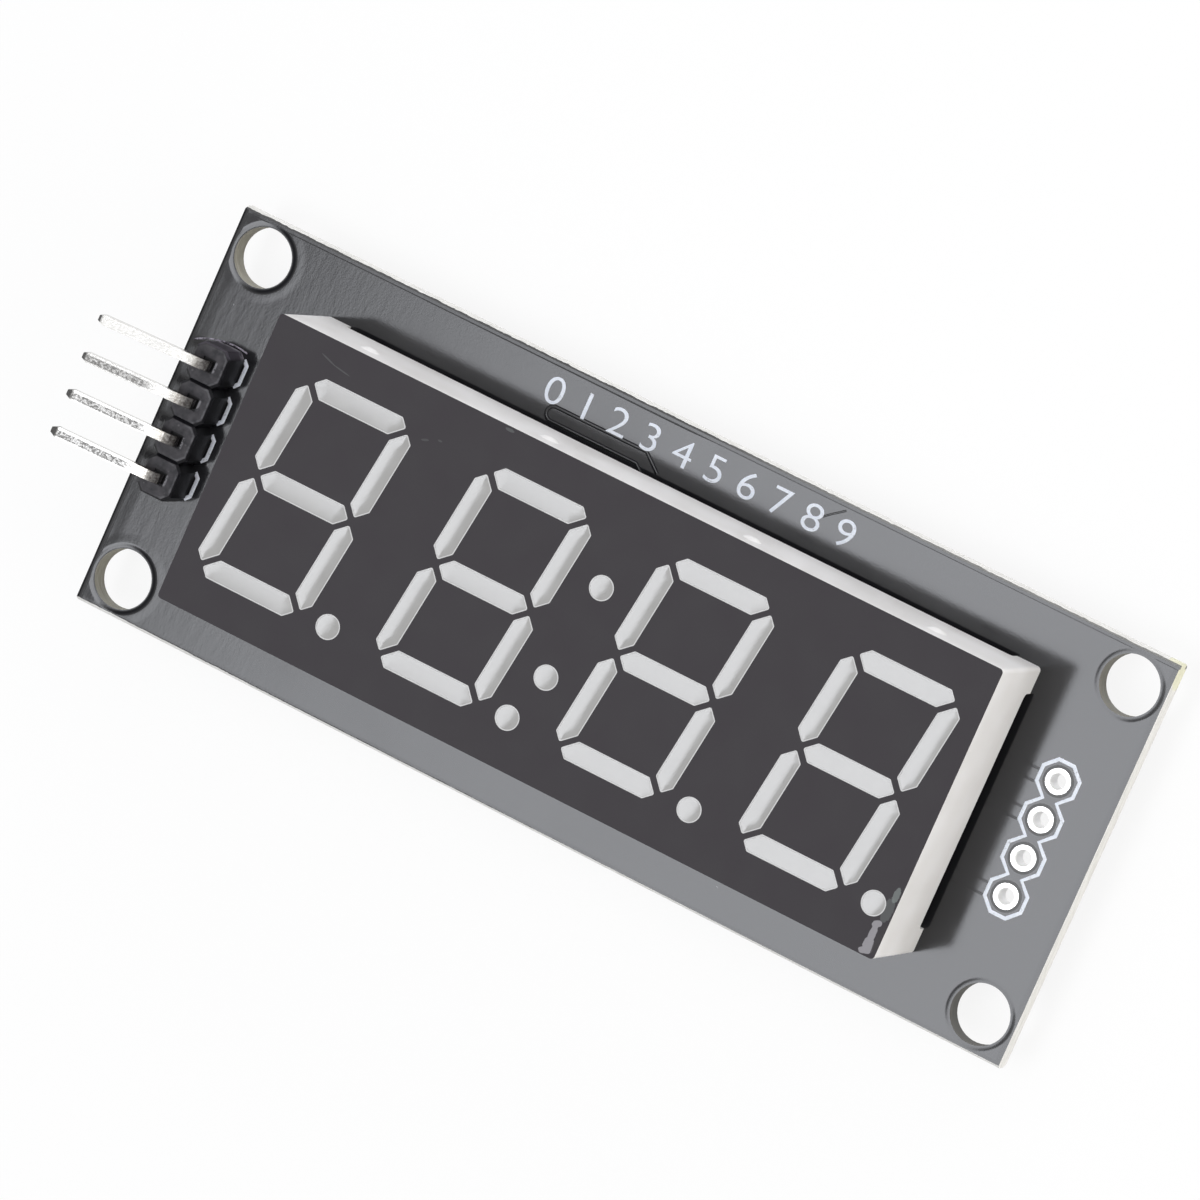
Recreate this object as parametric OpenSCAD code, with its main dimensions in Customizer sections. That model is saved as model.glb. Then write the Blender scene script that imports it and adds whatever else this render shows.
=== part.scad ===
// Four-digit seven segment display module: a black circuit board that carries a moulded
// LED display, a bent pin header at one end, a row of empty plated holes for a second
// header at the other end, and the driver chip with its small parts on the underside.
// Millimetres. The origin is the centre of the four corner holes on the board's underside,
// +X runs along the board away from the pin header and +Z points out of the display.

/* [Board] */
// Thickness of the laminate
board_t = 1.6; // [1.0:0.1:2.4]
// Bare board beyond each short side of the display
end_margin = 7.7; // [7.2:0.1:14]
// Bare board beyond each long side of the display
side_margin = 3.9; // [3.7:0.1:8]
// Width of the slope that the V-score leaves along each long edge
score_w = 0.2; // [0.05:0.05:0.4]
// Depth of the V-score on each face
score_d = 0.45; // [0.1:0.05:0.45]

/* [Corner holes] */
// Diameter of the four corner holes
hole_d = 3.8; // [2.2:0.1:4]
// From a short edge to the centres of the corner holes
hole_inset_x = 2.35; // [2.2:0.05:3]
// From a long edge to the centres of the corner holes
hole_inset_y = 2.48; // [2.2:0.02:3]

/* [Display housing] */
// Width of the housing across the digits
display_w = 19; // [18.2:0.1:24]
// Height of the housing from its feet to its printed face
display_h = 8; // [6.5:0.1:10]
// What the housing is shorter than the digits' pitches together
display_trim = 0.5; // [0.2:0.1:0.8]
// Thickness of the housing's side walls
wall_t = 1; // [0.6:0.1:1.1]
// Radius of the housing's upright edges
edge_r = 0.25; // [0.1:0.05:0.5]
// Length of a corner foot along each wall
foot_l = 1.7; // [1.2:0.1:3]
// Height of the corner feet below the raised walls
foot_h = 1; // [0.4:0.1:1.1]
// Fillet where a foot meets the raised wall
foot_fillet = 0.35; // [0.1:0.05:0.4]
// Height above the feet at which the solid reflector plate starts
plate_z = 3; // [2.9:0.1:4]
// Thickness of the printed ink on the face
ink_t = 0.05; // [0.03:0.01:0.1]
// White rim that the ink leaves round each light well
ink_rim = 0.07; // [0.02:0.01:0.15]
// Diameter of the round moulding marks on one long wall
mark_d = 1.3; // [0.8:0.1:2]
// From the line midway between two digits to the moulding mark beyond it
mark_shift = 0.75; // [0:0.05:2]
// How far the moulding marks stand out
mark_h = 0.2; // [0.05:0.01:0.3]
// Depth of the moulding marks' centres below the face
mark_drop = 2.4; // [1.5:0.1:3.5]

/* [Digits] */
// Distance from one digit to the next
digit_pitch = 12.7; // [12.4:0.1:16]
// Height of a digit over its outer edges
digit_h = 14.2; // [12:0.1:14.6]
// Width of a digit over its outer edges, before it slants
digit_w = 8.16; // [7:0.02:8.4]
// Slant of the digits in degrees
slant = 8; // [0:1:10]
// Width of a segment's light well at the face
seg_w = 1.22; // [0.9:0.02:1.4]
// Gap between neighbouring wells, measured square to the mitre
seg_gap = 0.52; // [0.4:0.02:0.8]
// Radius of the wells' corners
seg_r = 0.12; // [0.05:0.01:0.2]
// Diameter of the decimal points and of the colon's dots at the face
dot_d = 1.44; // [1.0:0.02:1.7]
// From a digit's centre to its decimal point, before it slants
point_x = 5.6; // [5.4:0.05:5.8]
// Height of each of the colon's dots from the middle
colon_y = 3.18; // [2.2:0.02:4]
// Share of its length that a well keeps at the back of the plate
well_back_l = 0.55; // [0.4:0.05:0.9]
// Share of its width that a well keeps at the back of the plate
well_back_w = 0.8; // [0.6:0.05:0.95]

/* [LED board and resin] */
// Thickness of the small board inside the housing
led_board_t = 1; // [0.6:0.1:1.1]
// Height of that board's back above the housing's feet
led_board_z = 1.6; // [1.5:0.1:1.7]
// Gap between that board's edge and the housing wall
led_board_gap = 0.25; // [0.1:0.05:0.4]
// Height of the resin's back above the housing's feet
resin_z = 1.25; // [1.2:0.05:1.4]
// Side of a square LED die
die_w = 0.3; // [0.2:0.02:0.4]
// Height of an LED die
die_h = 0.2; // [0.1:0.02:0.25]

/* [Display pins] */
// Diameter of a display pin
dpin_d = 0.5; // [0.4:0.02:0.6]
// From a long side of the housing to the pin row
dpin_inset = 1.88; // [1.6:0.02:2.4]
// How far the pins stand out under the board
dpin_tail = 1.3; // [0.9:0.1:2.0]
// Diameter of their plated holes
dpin_hole_d = 0.8; // [0.7:0.05:1]

/* [Pin headers] */
// Distance from one header pin to the next
pitch = 2.54; // [2.5:0.02:2.6]
// From the short edge to the fitted header's row of pins
header_inset = 2.75; // [2.4:0.05:3.2]
// From the other short edge to the row of empty holes
chain_inset = 3.9; // [3:0.1:5]
// Side of a square header pin
hpin_w = 0.64; // [0.5:0.02:0.66]
// Width of the header's plastic body
header_w = 2.4; // [2:0.1:2.6]
// Height of the header's plastic body
header_h = 2.54; // [2:0.02:3]
// Depth of the notches between the header's units
header_notch = 0.42; // [0.2:0.02:0.5]
// Chamfer along the header's top edges
header_chamfer = 0.12; // [0.05:0.01:0.2]
// Side of the sunk square round each pin, beyond the pin itself
header_sink = 0.12; // [0.05:0.01:0.2]
// How far the header pins stand out under the board
hpin_tail = 1.4; // [1:0.1:2]
// Radius of the bend, at the middle of the pin
bend_r = 0.6; // [0.4:0.05:1]
// Length of the straight pin beyond the bend
hpin_reach = 6.6; // [4:0.1:8]
// Length of the taper on the upper and lower sides of a pin's tips
hpin_tip = 0.45; // [0.3:0.05:0.8]
// What the taper on a pin's flanks is shorter than that
flank_less = 0.08; // [0.04:0.02:0.16]
// Share of its width that a pin keeps at the end of its tip
tip_share = 0.5; // [0.3:0.05:0.8]
// Height above the body at which a header pin starts to bend
bend_rise = 0.16; // [0.05:0.01:0.5]
// Diameter of the plated header holes
hpin_hole_d = 1; // [0.96:0.02:1.1]

/* [Plating and solder] */
// Thickness of the copper and tin on the board's faces
pad_t = 0.04; // [0.03:0.01:0.06]
// Thickness of the plating in the holes
barrel_t = 0.05; // [0.03:0.01:0.1]
// Width of the ring round a plated hole
ring_w = 0.3; // [0.25:0.01:0.4]
// Height of a solder cone under the board
cone_h = 0.85; // [0.5:0.05:0.9]
// How far the solder in a plated hole stays below the board's upper face
solder_low = 0.3; // [0:0.05:0.8]
// How far solder stops short of the edge of its pad
solder_edge = 0.04; // [0.02:0.01:0.08]

/* [Driver chip] */
// Length of the chip's body
chip_l = 12.8; // [12.2:0.1:13.4]
// Width of the chip's body
chip_w = 7.5; // [6.5:0.1:7.6]
// Thickness of the chip's body
chip_h = 2.3; // [1.8:0.05:2.5]
// Gap between the chip's body and the board
chip_gap = 0.15; // [0.1:0.01:0.25]
// Span over the toes of the leads
chip_span = 10.3; // [10:0.1:10.6]
// Distance from one lead to the next
lead_pitch = 1.27; // [1.2:0.01:1.3]
// Width of a lead
lead_w = 0.42; // [0.3:0.02:0.5]
// Thickness of a lead
lead_t = 0.25; // [0.15:0.01:0.3]
// Length of a lead's foot
lead_foot = 0.75; // [0.5:0.05:0.9]
// How far a lead runs out level before it turns down
lead_shoulder = 0.35; // [0.2:0.05:0.45]
// How far a lead runs into the chip's body
lead_bury = 0.8; // [0.4:0.1:1.5]
// How far each side of the chip's body slopes in from its waist
chip_draft = 0.15; // [0.05:0.05:0.3]
// Diameter of the round mark by the first lead
chip_mark_d = 1; // [0.6:0.1:1.4]
// From the body's corner to the middle of that mark, both ways
chip_mark_inset = 1.2; // [1:0.1:2]
// Depth of that mark
chip_mark_t = 0.1; // [0.05:0.05:0.2]
// Length of the solder beyond a lead's toe
toe_solder = 0.35; // [0.2:0.05:0.5]
// Length of the solder behind a lead's foot
heel_solder = 0.2; // [0.1:0.05:0.3]
// Width of a lead's pad beyond each side of the lead
lead_pad_side = 0.08; // [0.04:0.01:0.12]

/* [Hidden] */

// Cuts run this far past the faces that they open
over = 0.5;
curve_fn = 48;

digits = 4;
header_pins = 4;
row_pins = 6;
leads_per_side = 10;

display_l = digits * digit_pitch - display_trim;
board_l = display_l + 2 * end_margin;
board_w = display_w + 2 * side_margin;
hole_x = board_l / 2 - hole_inset_x;
hole_y = board_w / 2 - hole_inset_y;
header_x = header_inset - board_l / 2;
chain_x = board_l / 2 - chain_inset;
dpin_y = display_w / 2 - dpin_inset;
seat_z = board_t;
face_z = seat_z + display_h - ink_t;
pocket_l = display_l - 2 * wall_t;
pocket_w = display_w - 2 * wall_t;
lead_z = -chip_gap - chip_h / 2;
bend_z = board_t + header_h + bend_rise;
bend_steps = 10;

// Half-width of a window in the ink, and the centre lines of the columns and the rows
half_w = seg_w / 2 + ink_rim;
col_x = digit_w / 2 - half_w;
row_y = digit_h / 2 - half_w;

// Upward lift that each bent pin keeps, in degrees: they were bent by hand
pin_lift = [14, 13, 10, 8];

// Small two-ended parts on the underside: [x, y], length, width and height
resistors = [[[-21, 2], 1.6, 0.8, 0.45], [[-21, -2], 1.6, 0.8, 0.45]];
capacitors = [
    [[-24.6, 2], 1.6, 0.8, 0.8], [[-24.6, -2], 1.6, 0.8, 0.8],
    [[-13.6, 2], 1.6, 0.8, 0.8], [[-13.6, -2], 2.0, 1.25, 0.9]
];
// Share of a small part's length that each metal end takes
end_share = 0.2;
// How far a small part's metal end wraps over its body
end_wrap = 0.03;
// Pads beyond the end and beyond each side of a small part
end_pad = 0.45;
side_pad = 0.05;
// Share of a small part's height that the solder climbs
solder_climb = 0.6;

// Places along a row of n that is centred on 0
function row(n, step) = [for (i = [0:n - 1]) (i - (n - 1) / 2) * step];

// The upright point p, leaned over by the digits' slant
function leaned(p) = [p.x + p.y * tan(slant), p.y];

// Distance along a column or a row from a crossing to the mitre, for an outline of half-width w.
// A wider outline comes nearer to its neighbour, so that the rim is even all round
function mitre(w) = (seg_gap / 2 + seg_w / 2 - w) * sqrt(2);

// The same for the cut across an outer corner, which the widest outline has right at the crossing
function corner(w) = (half_w - w) * sqrt(2);

// Unit vector from point a towards point b
function towards(a, b) = (b - a) / norm(b - a);

// The outline p with every corner rounded to radius r, three points a corner
function rounded(p, r) = let (n = len(p)) [
    for (i = [0:n - 1])
        let (
            back = towards(p[i], p[(i + n - 1) % n]),
            on = towards(p[i], p[(i + 1) % n]),
            half = acos(back * on) / 2,
            centre = p[i] + (back + on) / norm(back + on) * r / sin(half)
        )
        each [
            p[i] + back * r / tan(half),
            centre + towards(centre, p[i]) * r,
            p[i] + on * r / tan(half)
        ]
];

// Right half of a horizontal segment at the top row, then at the middle row
function top_half(w) = [
    [col_x - w - mitre(w), row_y - w],
    [col_x - (mitre(w) + corner(w)) / 2, row_y + (mitre(w) - corner(w)) / 2],
    [col_x - w - corner(w), row_y + w]
];
function middle_half(w) = [
    [col_x - w - mitre(w), -w],
    [col_x - mitre(w), 0],
    [col_x - w - mitre(w), w]
];

// The right-hand half of an outline, closed by its mirror image
function mirrored(half) = concat(half, [for (i = [len(half) - 1:-1:0]) [-half[i].x, half[i].y]]);

// Upper right upright segment
function side_outline(w) = [
    [col_x, mitre(w)],
    [col_x + w, mitre(w) + w],
    [col_x + w, row_y - w - corner(w)],
    [col_x + (mitre(w) - corner(w)) / 2, row_y - (mitre(w) + corner(w)) / 2],
    [col_x - w, row_y - w - mitre(w)],
    [col_x - w, mitre(w) + w]
];

// Turns an outline over: sx and sy are 1 or -1
function turned(p, sx, sy) = [for (q = p) [q.x * sx, q.y * sy]];

// The seven segments, upright: [middle, outline, 1 where it lies across or 0 where it stands]
function segments(w) = [
    [[0, row_y], mirrored(top_half(w)), 1],
    [[0, 0], mirrored(middle_half(w)), 1],
    [[0, -row_y], turned(mirrored(top_half(w)), 1, -1), 1],
    for (sx = [-1, 1], sy = [-1, 1])
        [[sx * col_x, sy * row_y / 2], turned(side_outline(w), sx, sy), 0]
];

// Middles of the round dots: one decimal point a digit, and the colon between the middle digits
dots = concat(
    [for (x = row(digits, digit_pitch)) leaned([point_x, -row_y]) + [x, 0]],
    [for (s = [-1, 1]) leaned([0, s * colon_y])]
);

// Middles of every well, which the LED dies sit under
well_middles = concat(
    [for (x = row(digits, digit_pitch), s = segments(seg_w / 2)) leaned(s[0]) + [x, 0]],
    dots
);

// Rectangle with round corners
module soft_rect(l, w, r) {
    square([l - 2 * r, w], center = true);
    square([l, w - 2 * r], center = true);
    for (x = [-1, 1], y = [-1, 1])
        translate([x * (l / 2 - r), y * (w / 2 - r)])
            circle(r, $fn = curve_fn);
}

// Rectangular block on a face, centred in x and y
module block(l, w, h) {
    translate([-l / 2, -w / 2, 0])
        cube([l, w, h]);
}

// Ring of plating that lines a hole of inside diameter d and covers both of its mouths
module plated_hole(d) {
    inner = d / 2;
    barrel = inner + barrel_t;
    ring = inner + ring_w;
    rotate_extrude($fn = curve_fn)
        polygon([
            [inner, -pad_t], [ring, -pad_t], [ring, 0], [barrel, 0],
            [barrel, board_t], [ring, board_t], [ring, board_t + pad_t], [inner, board_t + pad_t]
        ]);
}

// Solder that fills a plated hole of diameter d and climbs the pin in a hollow cone
module solder_cone(d) {
    core = dpin_d / 4;
    foot = d / 2 + ring_w - solder_edge;
    top = board_t - solder_low;
    steps = 5;
    rotate_extrude($fn = curve_fn)
        polygon(concat(
            [[0, top], [d / 2, top], [d / 2, -pad_t]],
            [for (i = [0:steps])
                let (a = 90 * i / steps)
                [core + (foot - core) * (1 - sin(a)), -pad_t - cone_h * (1 - cos(a))]],
            [[0, -pad_t - cone_h]]
        ));
}

// Light well of one segment: straight at the face, then narrowing to the back of the plate
module well(middle, outline, across, depth) {
    back = across == 1 ? [well_back_l, well_back_w] : [well_back_w, well_back_l];
    centre = leaned(middle);
    points = rounded([for (p = outline) leaned(p) - centre], seg_r);
    translate([centre.x, centre.y, face_z])
        mirror([0, 0, 1])
            linear_extrude(height = depth, scale = back, slices = 1)
                polygon(points);
}

// All the light wells, from the face down to the back of the reflector plate
module wells() {
    depth = face_z - seat_z - plate_z;
    for (x = row(digits, digit_pitch))
        translate([x, 0, 0])
            for (s = segments(seg_w / 2))
                well(s[0], s[1], s[2], depth);
    for (p = dots)
        translate([p.x, p.y, face_z - depth])
            cylinder(h = depth, d1 = dot_d * well_back_w, d2 = dot_d, $fn = curve_fn);
}

// The display's pins, as bare rods between two heights
module display_pin_rods(bottom, top) {
    for (x = row(row_pins, pitch), y = [-dpin_y, dpin_y])
        translate([x, y, bottom])
            cylinder(h = top - bottom, d = dpin_d, $fn = curve_fn);
}

module circuit_board() {
    color("#26272a")
        difference() {
            // V-scored on both long edges, cut square at the short ends
            translate([-board_l / 2, 0, 0])
                rotate([90, 0, 90])
                    linear_extrude(height = board_l)
                        polygon([
                            [score_w - board_w / 2, 0], [board_w / 2 - score_w, 0],
                            [board_w / 2, score_d], [board_w / 2, board_t - score_d],
                            [board_w / 2 - score_w, board_t], [score_w - board_w / 2, board_t],
                            [-board_w / 2, board_t - score_d], [-board_w / 2, score_d]
                        ]);
            for (x = [-hole_x, hole_x], y = [-hole_y, hole_y])
                translate([x, y, -over])
                    cylinder(h = board_t + 2 * over, d = hole_d, $fn = 2 * curve_fn);
            for (x = [header_x, chain_x], y = row(header_pins, pitch))
                translate([x, y, -over])
                    cylinder(h = board_t + 2 * over, d = hpin_hole_d + 2 * barrel_t, $fn = curve_fn);
            for (x = row(row_pins, pitch), y = [-dpin_y, dpin_y])
                translate([x, y, -over])
                    cylinder(h = board_t + 2 * over, d = dpin_hole_d + 2 * barrel_t, $fn = curve_fn);
        }
}

// Empty plated holes that take a second header, so that modules can be chained
module chain_pads() {
    color("#e4e2dc")
        for (y = row(header_pins, pitch))
            translate([chain_x, y, 0])
                plated_hole(hpin_hole_d);
}

module header_pads() {
    color("#e4e2dc")
        for (y = row(header_pins, pitch))
            translate([header_x, y, 0])
                plated_hole(hpin_hole_d);
}

module display_pads() {
    color("#e4e2dc")
        for (x = row(row_pins, pitch), y = [-dpin_y, dpin_y])
            translate([x, y, 0])
                plated_hole(dpin_hole_d);
}

// Outline of the slot under a raised wall between two feet, l long, with filleted top corners
module slot_outline(l) {
    translate([-l / 2, -over])
        square([l, foot_h - foot_fillet + over]);
    translate([foot_fillet - l / 2, 0])
        square([l - 2 * foot_fillet, foot_h]);
    for (x = [-1, 1])
        translate([x * (l / 2 - foot_fillet), foot_h - foot_fillet])
            circle(foot_fillet, $fn = curve_fn);
}

// Moulded white reflector: corner feet, raised walls, a pocket at the back and the wells
module display_housing() {
    slot_l = display_l - 2 * foot_l;
    slot_w = display_w - 2 * foot_l;
    mark_r = (pow(mark_d / 2, 2) + pow(mark_h, 2)) / (2 * mark_h);
    color("#dddbd8")
        union() {
            difference() {
                translate([0, 0, seat_z])
                    linear_extrude(height = display_h - ink_t)
                        soft_rect(display_l, display_w, edge_r);
                // Pocket for the small board and the resin
                translate([0, 0, seat_z - over])
                    block(pocket_l, pocket_w, plate_z + over);
                translate([0, display_w / 2 + over, seat_z])
                    rotate([90, 0, 0])
                        linear_extrude(height = display_w + 2 * over)
                            slot_outline(slot_l);
                translate([-display_l / 2 - over, 0, seat_z])
                    rotate([90, 0, 90])
                        linear_extrude(height = display_l + 2 * over)
                            slot_outline(slot_w);
                wells();
            }
            // Round moulding marks near the face, one beside each digit
            intersection() {
                for (sx = [-1, 1], i = [0, 1])
                    translate([
                        sx * ((i + 0.5) * digit_pitch + mark_shift),
                        display_w / 2 + mark_h - mark_r,
                        face_z - mark_drop
                    ])
                        sphere(mark_r, $fn = curve_fn);
                translate([0, display_w / 2 + over, seat_z])
                    block(display_l, 2 * over, display_h);
            }
        }
}

// Black print on the face, open over every well and a little wider than it
module face_ink() {
    color("#4a464a")
        translate([0, 0, face_z])
            linear_extrude(height = ink_t)
                difference() {
                    soft_rect(display_l, display_w, edge_r);
                    for (x = row(digits, digit_pitch))
                        translate([x, 0])
                            for (s = segments(half_w))
                                polygon(rounded([for (p = s[1]) leaned(p)], seg_r));
                    for (p = dots)
                        translate(p)
                            circle(d = dot_d + 2 * ink_rim, $fn = curve_fn);
                }
}

// Milky resin cast into the wells and the pocket in one pour
module potting_resin() {
    color("#d5d5d8")
        difference() {
            union() {
                translate([0, 0, seat_z + resin_z])
                    block(pocket_l, pocket_w, plate_z - resin_z);
                wells();
            }
            translate([0, 0, seat_z + led_board_z])
                block(pocket_l - 2 * led_board_gap, pocket_w - 2 * led_board_gap, led_board_t);
            for (p = well_middles)
                translate([p.x, p.y, seat_z + led_board_z])
                    block(die_w, die_w, led_board_t + die_h);
            display_pin_rods(seat_z, seat_z + led_board_z + led_board_t);
        }
}

module led_board() {
    color("#8c7a4e")
        difference() {
            translate([0, 0, seat_z + led_board_z])
                block(pocket_l - 2 * led_board_gap, pocket_w - 2 * led_board_gap, led_board_t);
            display_pin_rods(seat_z, face_z);
        }
}

module led_dies() {
    color("#c8b45a")
        for (p = well_middles)
            translate([p.x, p.y, seat_z + led_board_z + led_board_t])
                block(die_w, die_w, die_h);
}

module display_pins() {
    color("#c9c9c6")
        display_pin_rods(-dpin_tail, seat_z + led_board_z + led_board_t);
}

module display_solder() {
    color("#c4c6c8")
        difference() {
            for (x = row(row_pins, pitch), y = [-dpin_y, dpin_y])
                translate([x, y, 0])
                    solder_cone(dpin_hole_d);
            display_pin_rods(-dpin_tail - over, board_t + over);
        }
}

// One unit's outline: a rectangle whose corners are cut back to half a notch
module header_unit_outline(inset) {
    x = header_w / 2 - inset;
    y = pitch / 2 - inset;
    n = header_notch;
    polygon([
        [x, y - n], [x - n, y], [n - x, y], [-x, y - n],
        [-x, n - y], [n - x, -y], [x - n, -y], [x, n - y]
    ]);
}

// Header body: one unit a pin, chamfered on top, so that a groove crosses between units
module header_body() {
    color("#1c1b1e")
        difference() {
            for (y = row(header_pins, pitch))
                translate([header_x, y, board_t])
                    hull() {
                        linear_extrude(height = header_h - header_chamfer)
                            header_unit_outline(0);
                        linear_extrude(height = header_h)
                            header_unit_outline(header_chamfer);
                    }
            for (y = row(header_pins, pitch))
                translate([header_x, y, board_t]) {
                    translate([0, 0, -over])
                        block(hpin_w, hpin_w, header_h + 2 * over);
                    translate([0, 0, header_h - header_sink])
                        block(hpin_w + 2 * header_sink, hpin_w + 2 * header_sink, over);
                }
            // The rings of plating stand a little above the board
            for (y = row(header_pins, pitch))
                translate([header_x, y, board_t - over])
                    cylinder(h = over + pad_t, d = hpin_hole_d + 2 * ring_w, $fn = curve_fn);
        }
}

// A point of a header pin's side view: d to the right of the pin's middle line, at the end of its
// tail, part of the way round its bend, or along its straight reach
function tail_point(d, z) = [d, z];
function bend_point(d, turn) = [(bend_r + d) * cos(turn) - bend_r, bend_z + (bend_r + d) * sin(turn)];
function reach_point(d, turn, along) = bend_point(d, turn) + along * [-sin(turn), cos(turn)];

// Side view of a header pin whose bend turns it through an angle, both ends tapered
module pin_profile(turn) {
    side = hpin_w / 2;
    tip = side * tip_share;
    polygon(concat(
        [tail_point(tip, -hpin_tail), tail_point(side, hpin_tip - hpin_tail)],
        [for (i = [0:bend_steps]) bend_point(side, turn * i / bend_steps)],
        [reach_point(side, turn, hpin_reach - hpin_tip), reach_point(tip, turn, hpin_reach)],
        [reach_point(-tip, turn, hpin_reach), reach_point(-side, turn, hpin_reach - hpin_tip)],
        [for (i = [bend_steps:-1:0]) bend_point(-side, turn * i / bend_steps)],
        [tail_point(-side, hpin_tip - hpin_tail), tail_point(-tip, -hpin_tail)]
    ));
}

// What the taper takes off both flanks of a tip that points along +Z and ends at z = 0
module tip_flanks() {
    side = hpin_w / 2;
    l = hpin_tip - flank_less;
    slope = side * (1 - tip_share) / l;
    for (s = [0, 1])
        mirror([0, s, 0])
            translate([-hpin_w, 0, -l])
                rotate([90, 0, 90])
                    linear_extrude(height = 2 * hpin_w)
                        polygon([
                            [side, 0], [side + over, 0],
                            [side + over, 2 * l], [side - 2 * l * slope, 2 * l]
                        ]);
}

// Square pin: up through board and body, over the bend, then out past the board's edge
module header_pin(i) {
    turn = 90 - pin_lift[i];
    color("#d9d7d0")
        translate([header_x, row(header_pins, pitch)[header_pins - 1 - i], 0])
            difference() {
                translate([0, hpin_w / 2, 0])
                    rotate([90, 0, 0])
                        linear_extrude(height = hpin_w)
                            pin_profile(turn);
                translate([0, 0, -hpin_tail])
                    mirror([0, 0, 1])
                        tip_flanks();
                translate([-bend_r, 0, bend_z])
                    rotate([0, -turn, 0])
                        translate([bend_r, 0, hpin_reach])
                            tip_flanks();
            }
}

module header_solder() {
    color("#c4c6c8")
        difference() {
            for (y = row(header_pins, pitch))
                translate([header_x, y, 0])
                    solder_cone(hpin_hole_d);
            for (y = row(header_pins, pitch))
                translate([header_x, y, -hpin_tail - over])
                    block(hpin_w, hpin_w, hpin_tail + board_t + 2 * over);
        }
}

// Chip body: two drafted halves that meet at the leads, with a round mark by the first lead
module driver_body() {
    narrowed = [1 - 2 * chip_draft / chip_l, 1 - 2 * chip_draft / chip_w];
    color("#222226")
        difference() {
            for (up = [0, 1])
                translate([0, 0, lead_z])
                    mirror([0, 0, up])
                        linear_extrude(height = chip_h / 2, scale = narrowed, slices = 1)
                            square([chip_l, chip_w], center = true);
            translate([
                chip_mark_inset - chip_l / 2,
                chip_w / 2 - chip_mark_inset,
                -chip_gap - chip_h - over
            ])
                cylinder(h = over + chip_mark_t, d = chip_mark_d, $fn = curve_fn);
            leads();
        }
}

// Side view of a lead in the plane across the chip: shoulder, leg and foot
module lead_outline() {
    back = chip_w / 2 - lead_bury;
    shoulder = chip_w / 2 + lead_shoulder;
    heel = chip_span / 2 - lead_foot;
    toe = chip_span / 2;
    t = lead_t;
    polygon([
        [back, lead_z - t / 2], [shoulder, lead_z - t / 2],
        [heel, -pad_t - t], [toe, -pad_t - t],
        [toe, -pad_t], [heel - t / 2, -pad_t],
        [shoulder - t / 2, lead_z + t / 2], [back, lead_z + t / 2]
    ]);
}

// Both rows of leads, with the part inside the chip's body
module leads() {
    for (side = [0, 1], x = row(leads_per_side, lead_pitch))
        mirror([0, side, 0])
            translate([x - lead_w / 2, 0, 0])
                rotate([90, 0, 90])
                    linear_extrude(height = lead_w)
                        lead_outline();
}

module driver_leads() {
    color("#cfcfcc")
        leads();
}

// Tinned pads under the leads, with a fillet at each toe
module driver_solder() {
    toe = chip_span / 2;
    heel = toe - lead_foot - heel_solder;
    outer = toe + toe_solder;
    color("#c4c6c8")
        for (side = [0, 1], x = row(leads_per_side, lead_pitch))
            mirror([0, side, 0])
                translate([x - lead_w / 2 - lead_pad_side, 0, 0])
                    rotate([90, 0, 90])
                        linear_extrude(height = lead_w + 2 * lead_pad_side)
                            polygon([
                                [heel, 0], [outer, 0], [outer, -pad_t],
                                [toe, -pad_t - lead_t], [toe, -pad_t], [heel, -pad_t]
                            ]);
}

// Middle of a small part: its body between the metal ends. part is [place, length, width, height]
module small_body(part) {
    l = part[1] * (1 - 2 * end_share);
    translate([part[0].x, part[0].y, -pad_t - end_wrap - part[3]])
        block(l, part[2], part[3]);
}

// The two metal ends of a small part, a little thicker than its body
module small_ends(part) {
    l = part[1] * end_share;
    for (s = [-1, 1])
        translate([part[0].x + s * (part[1] - l) / 2, part[0].y, -pad_t - part[3] - 2 * end_wrap])
            block(l, part[2] + 2 * end_wrap, part[3] + 2 * end_wrap);
}

// Tinned pads under a small part, with a fillet up each end
module small_solder(part) {
    l = part[1] * end_share;
    outer = part[1] / 2;
    width = part[2] + 2 * (end_wrap + side_pad);
    for (side = [0, 1])
        translate([part[0].x, part[0].y + width / 2, 0])
            mirror([side, 0, 0])
                rotate([90, 0, 0])
                    linear_extrude(height = width)
                        polygon([
                            [outer - l, 0], [outer + end_pad, 0],
                            [outer + end_pad, -pad_t], [outer, -pad_t - part[3] * solder_climb],
                            [outer, -pad_t], [outer - l, -pad_t]
                        ]);
}

module resistor_bodies() {
    color("#17171a")
        for (part = resistors)
            small_body(part);
}

module resistor_ends() {
    color("#d4d4d0")
        for (part = resistors)
            small_ends(part);
}

module capacitor_bodies() {
    color("#a58a66")
        for (part = capacitors)
            small_body(part);
}

module capacitor_ends() {
    color("#d4d4d0")
        for (part = capacitors)
            small_ends(part);
}

module chip_solder() {
    color("#c4c6c8")
        for (part = concat(resistors, capacitors))
            small_solder(part);
}

circuit_board();
chain_pads();
header_pads();
display_pads();
display_housing();
face_ink();
potting_resin();
led_board();
led_dies();
display_pins();
display_solder();
header_body();
header_pin(0);  // header_pin_1
header_pin(1);  // header_pin_2
header_pin(2);  // header_pin_3
header_pin(3);  // header_pin_4
header_solder();
driver_body();
driver_leads();
driver_solder();
resistor_bodies();
resistor_ends();
capacitor_bodies();
capacitor_ends();
chip_solder();
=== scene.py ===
"""Looks of the four-digit display module: finishes for the CAD nodes, the dished resin in the
windows of the face, the white print and the relief of the circuit board."""
import math

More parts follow.
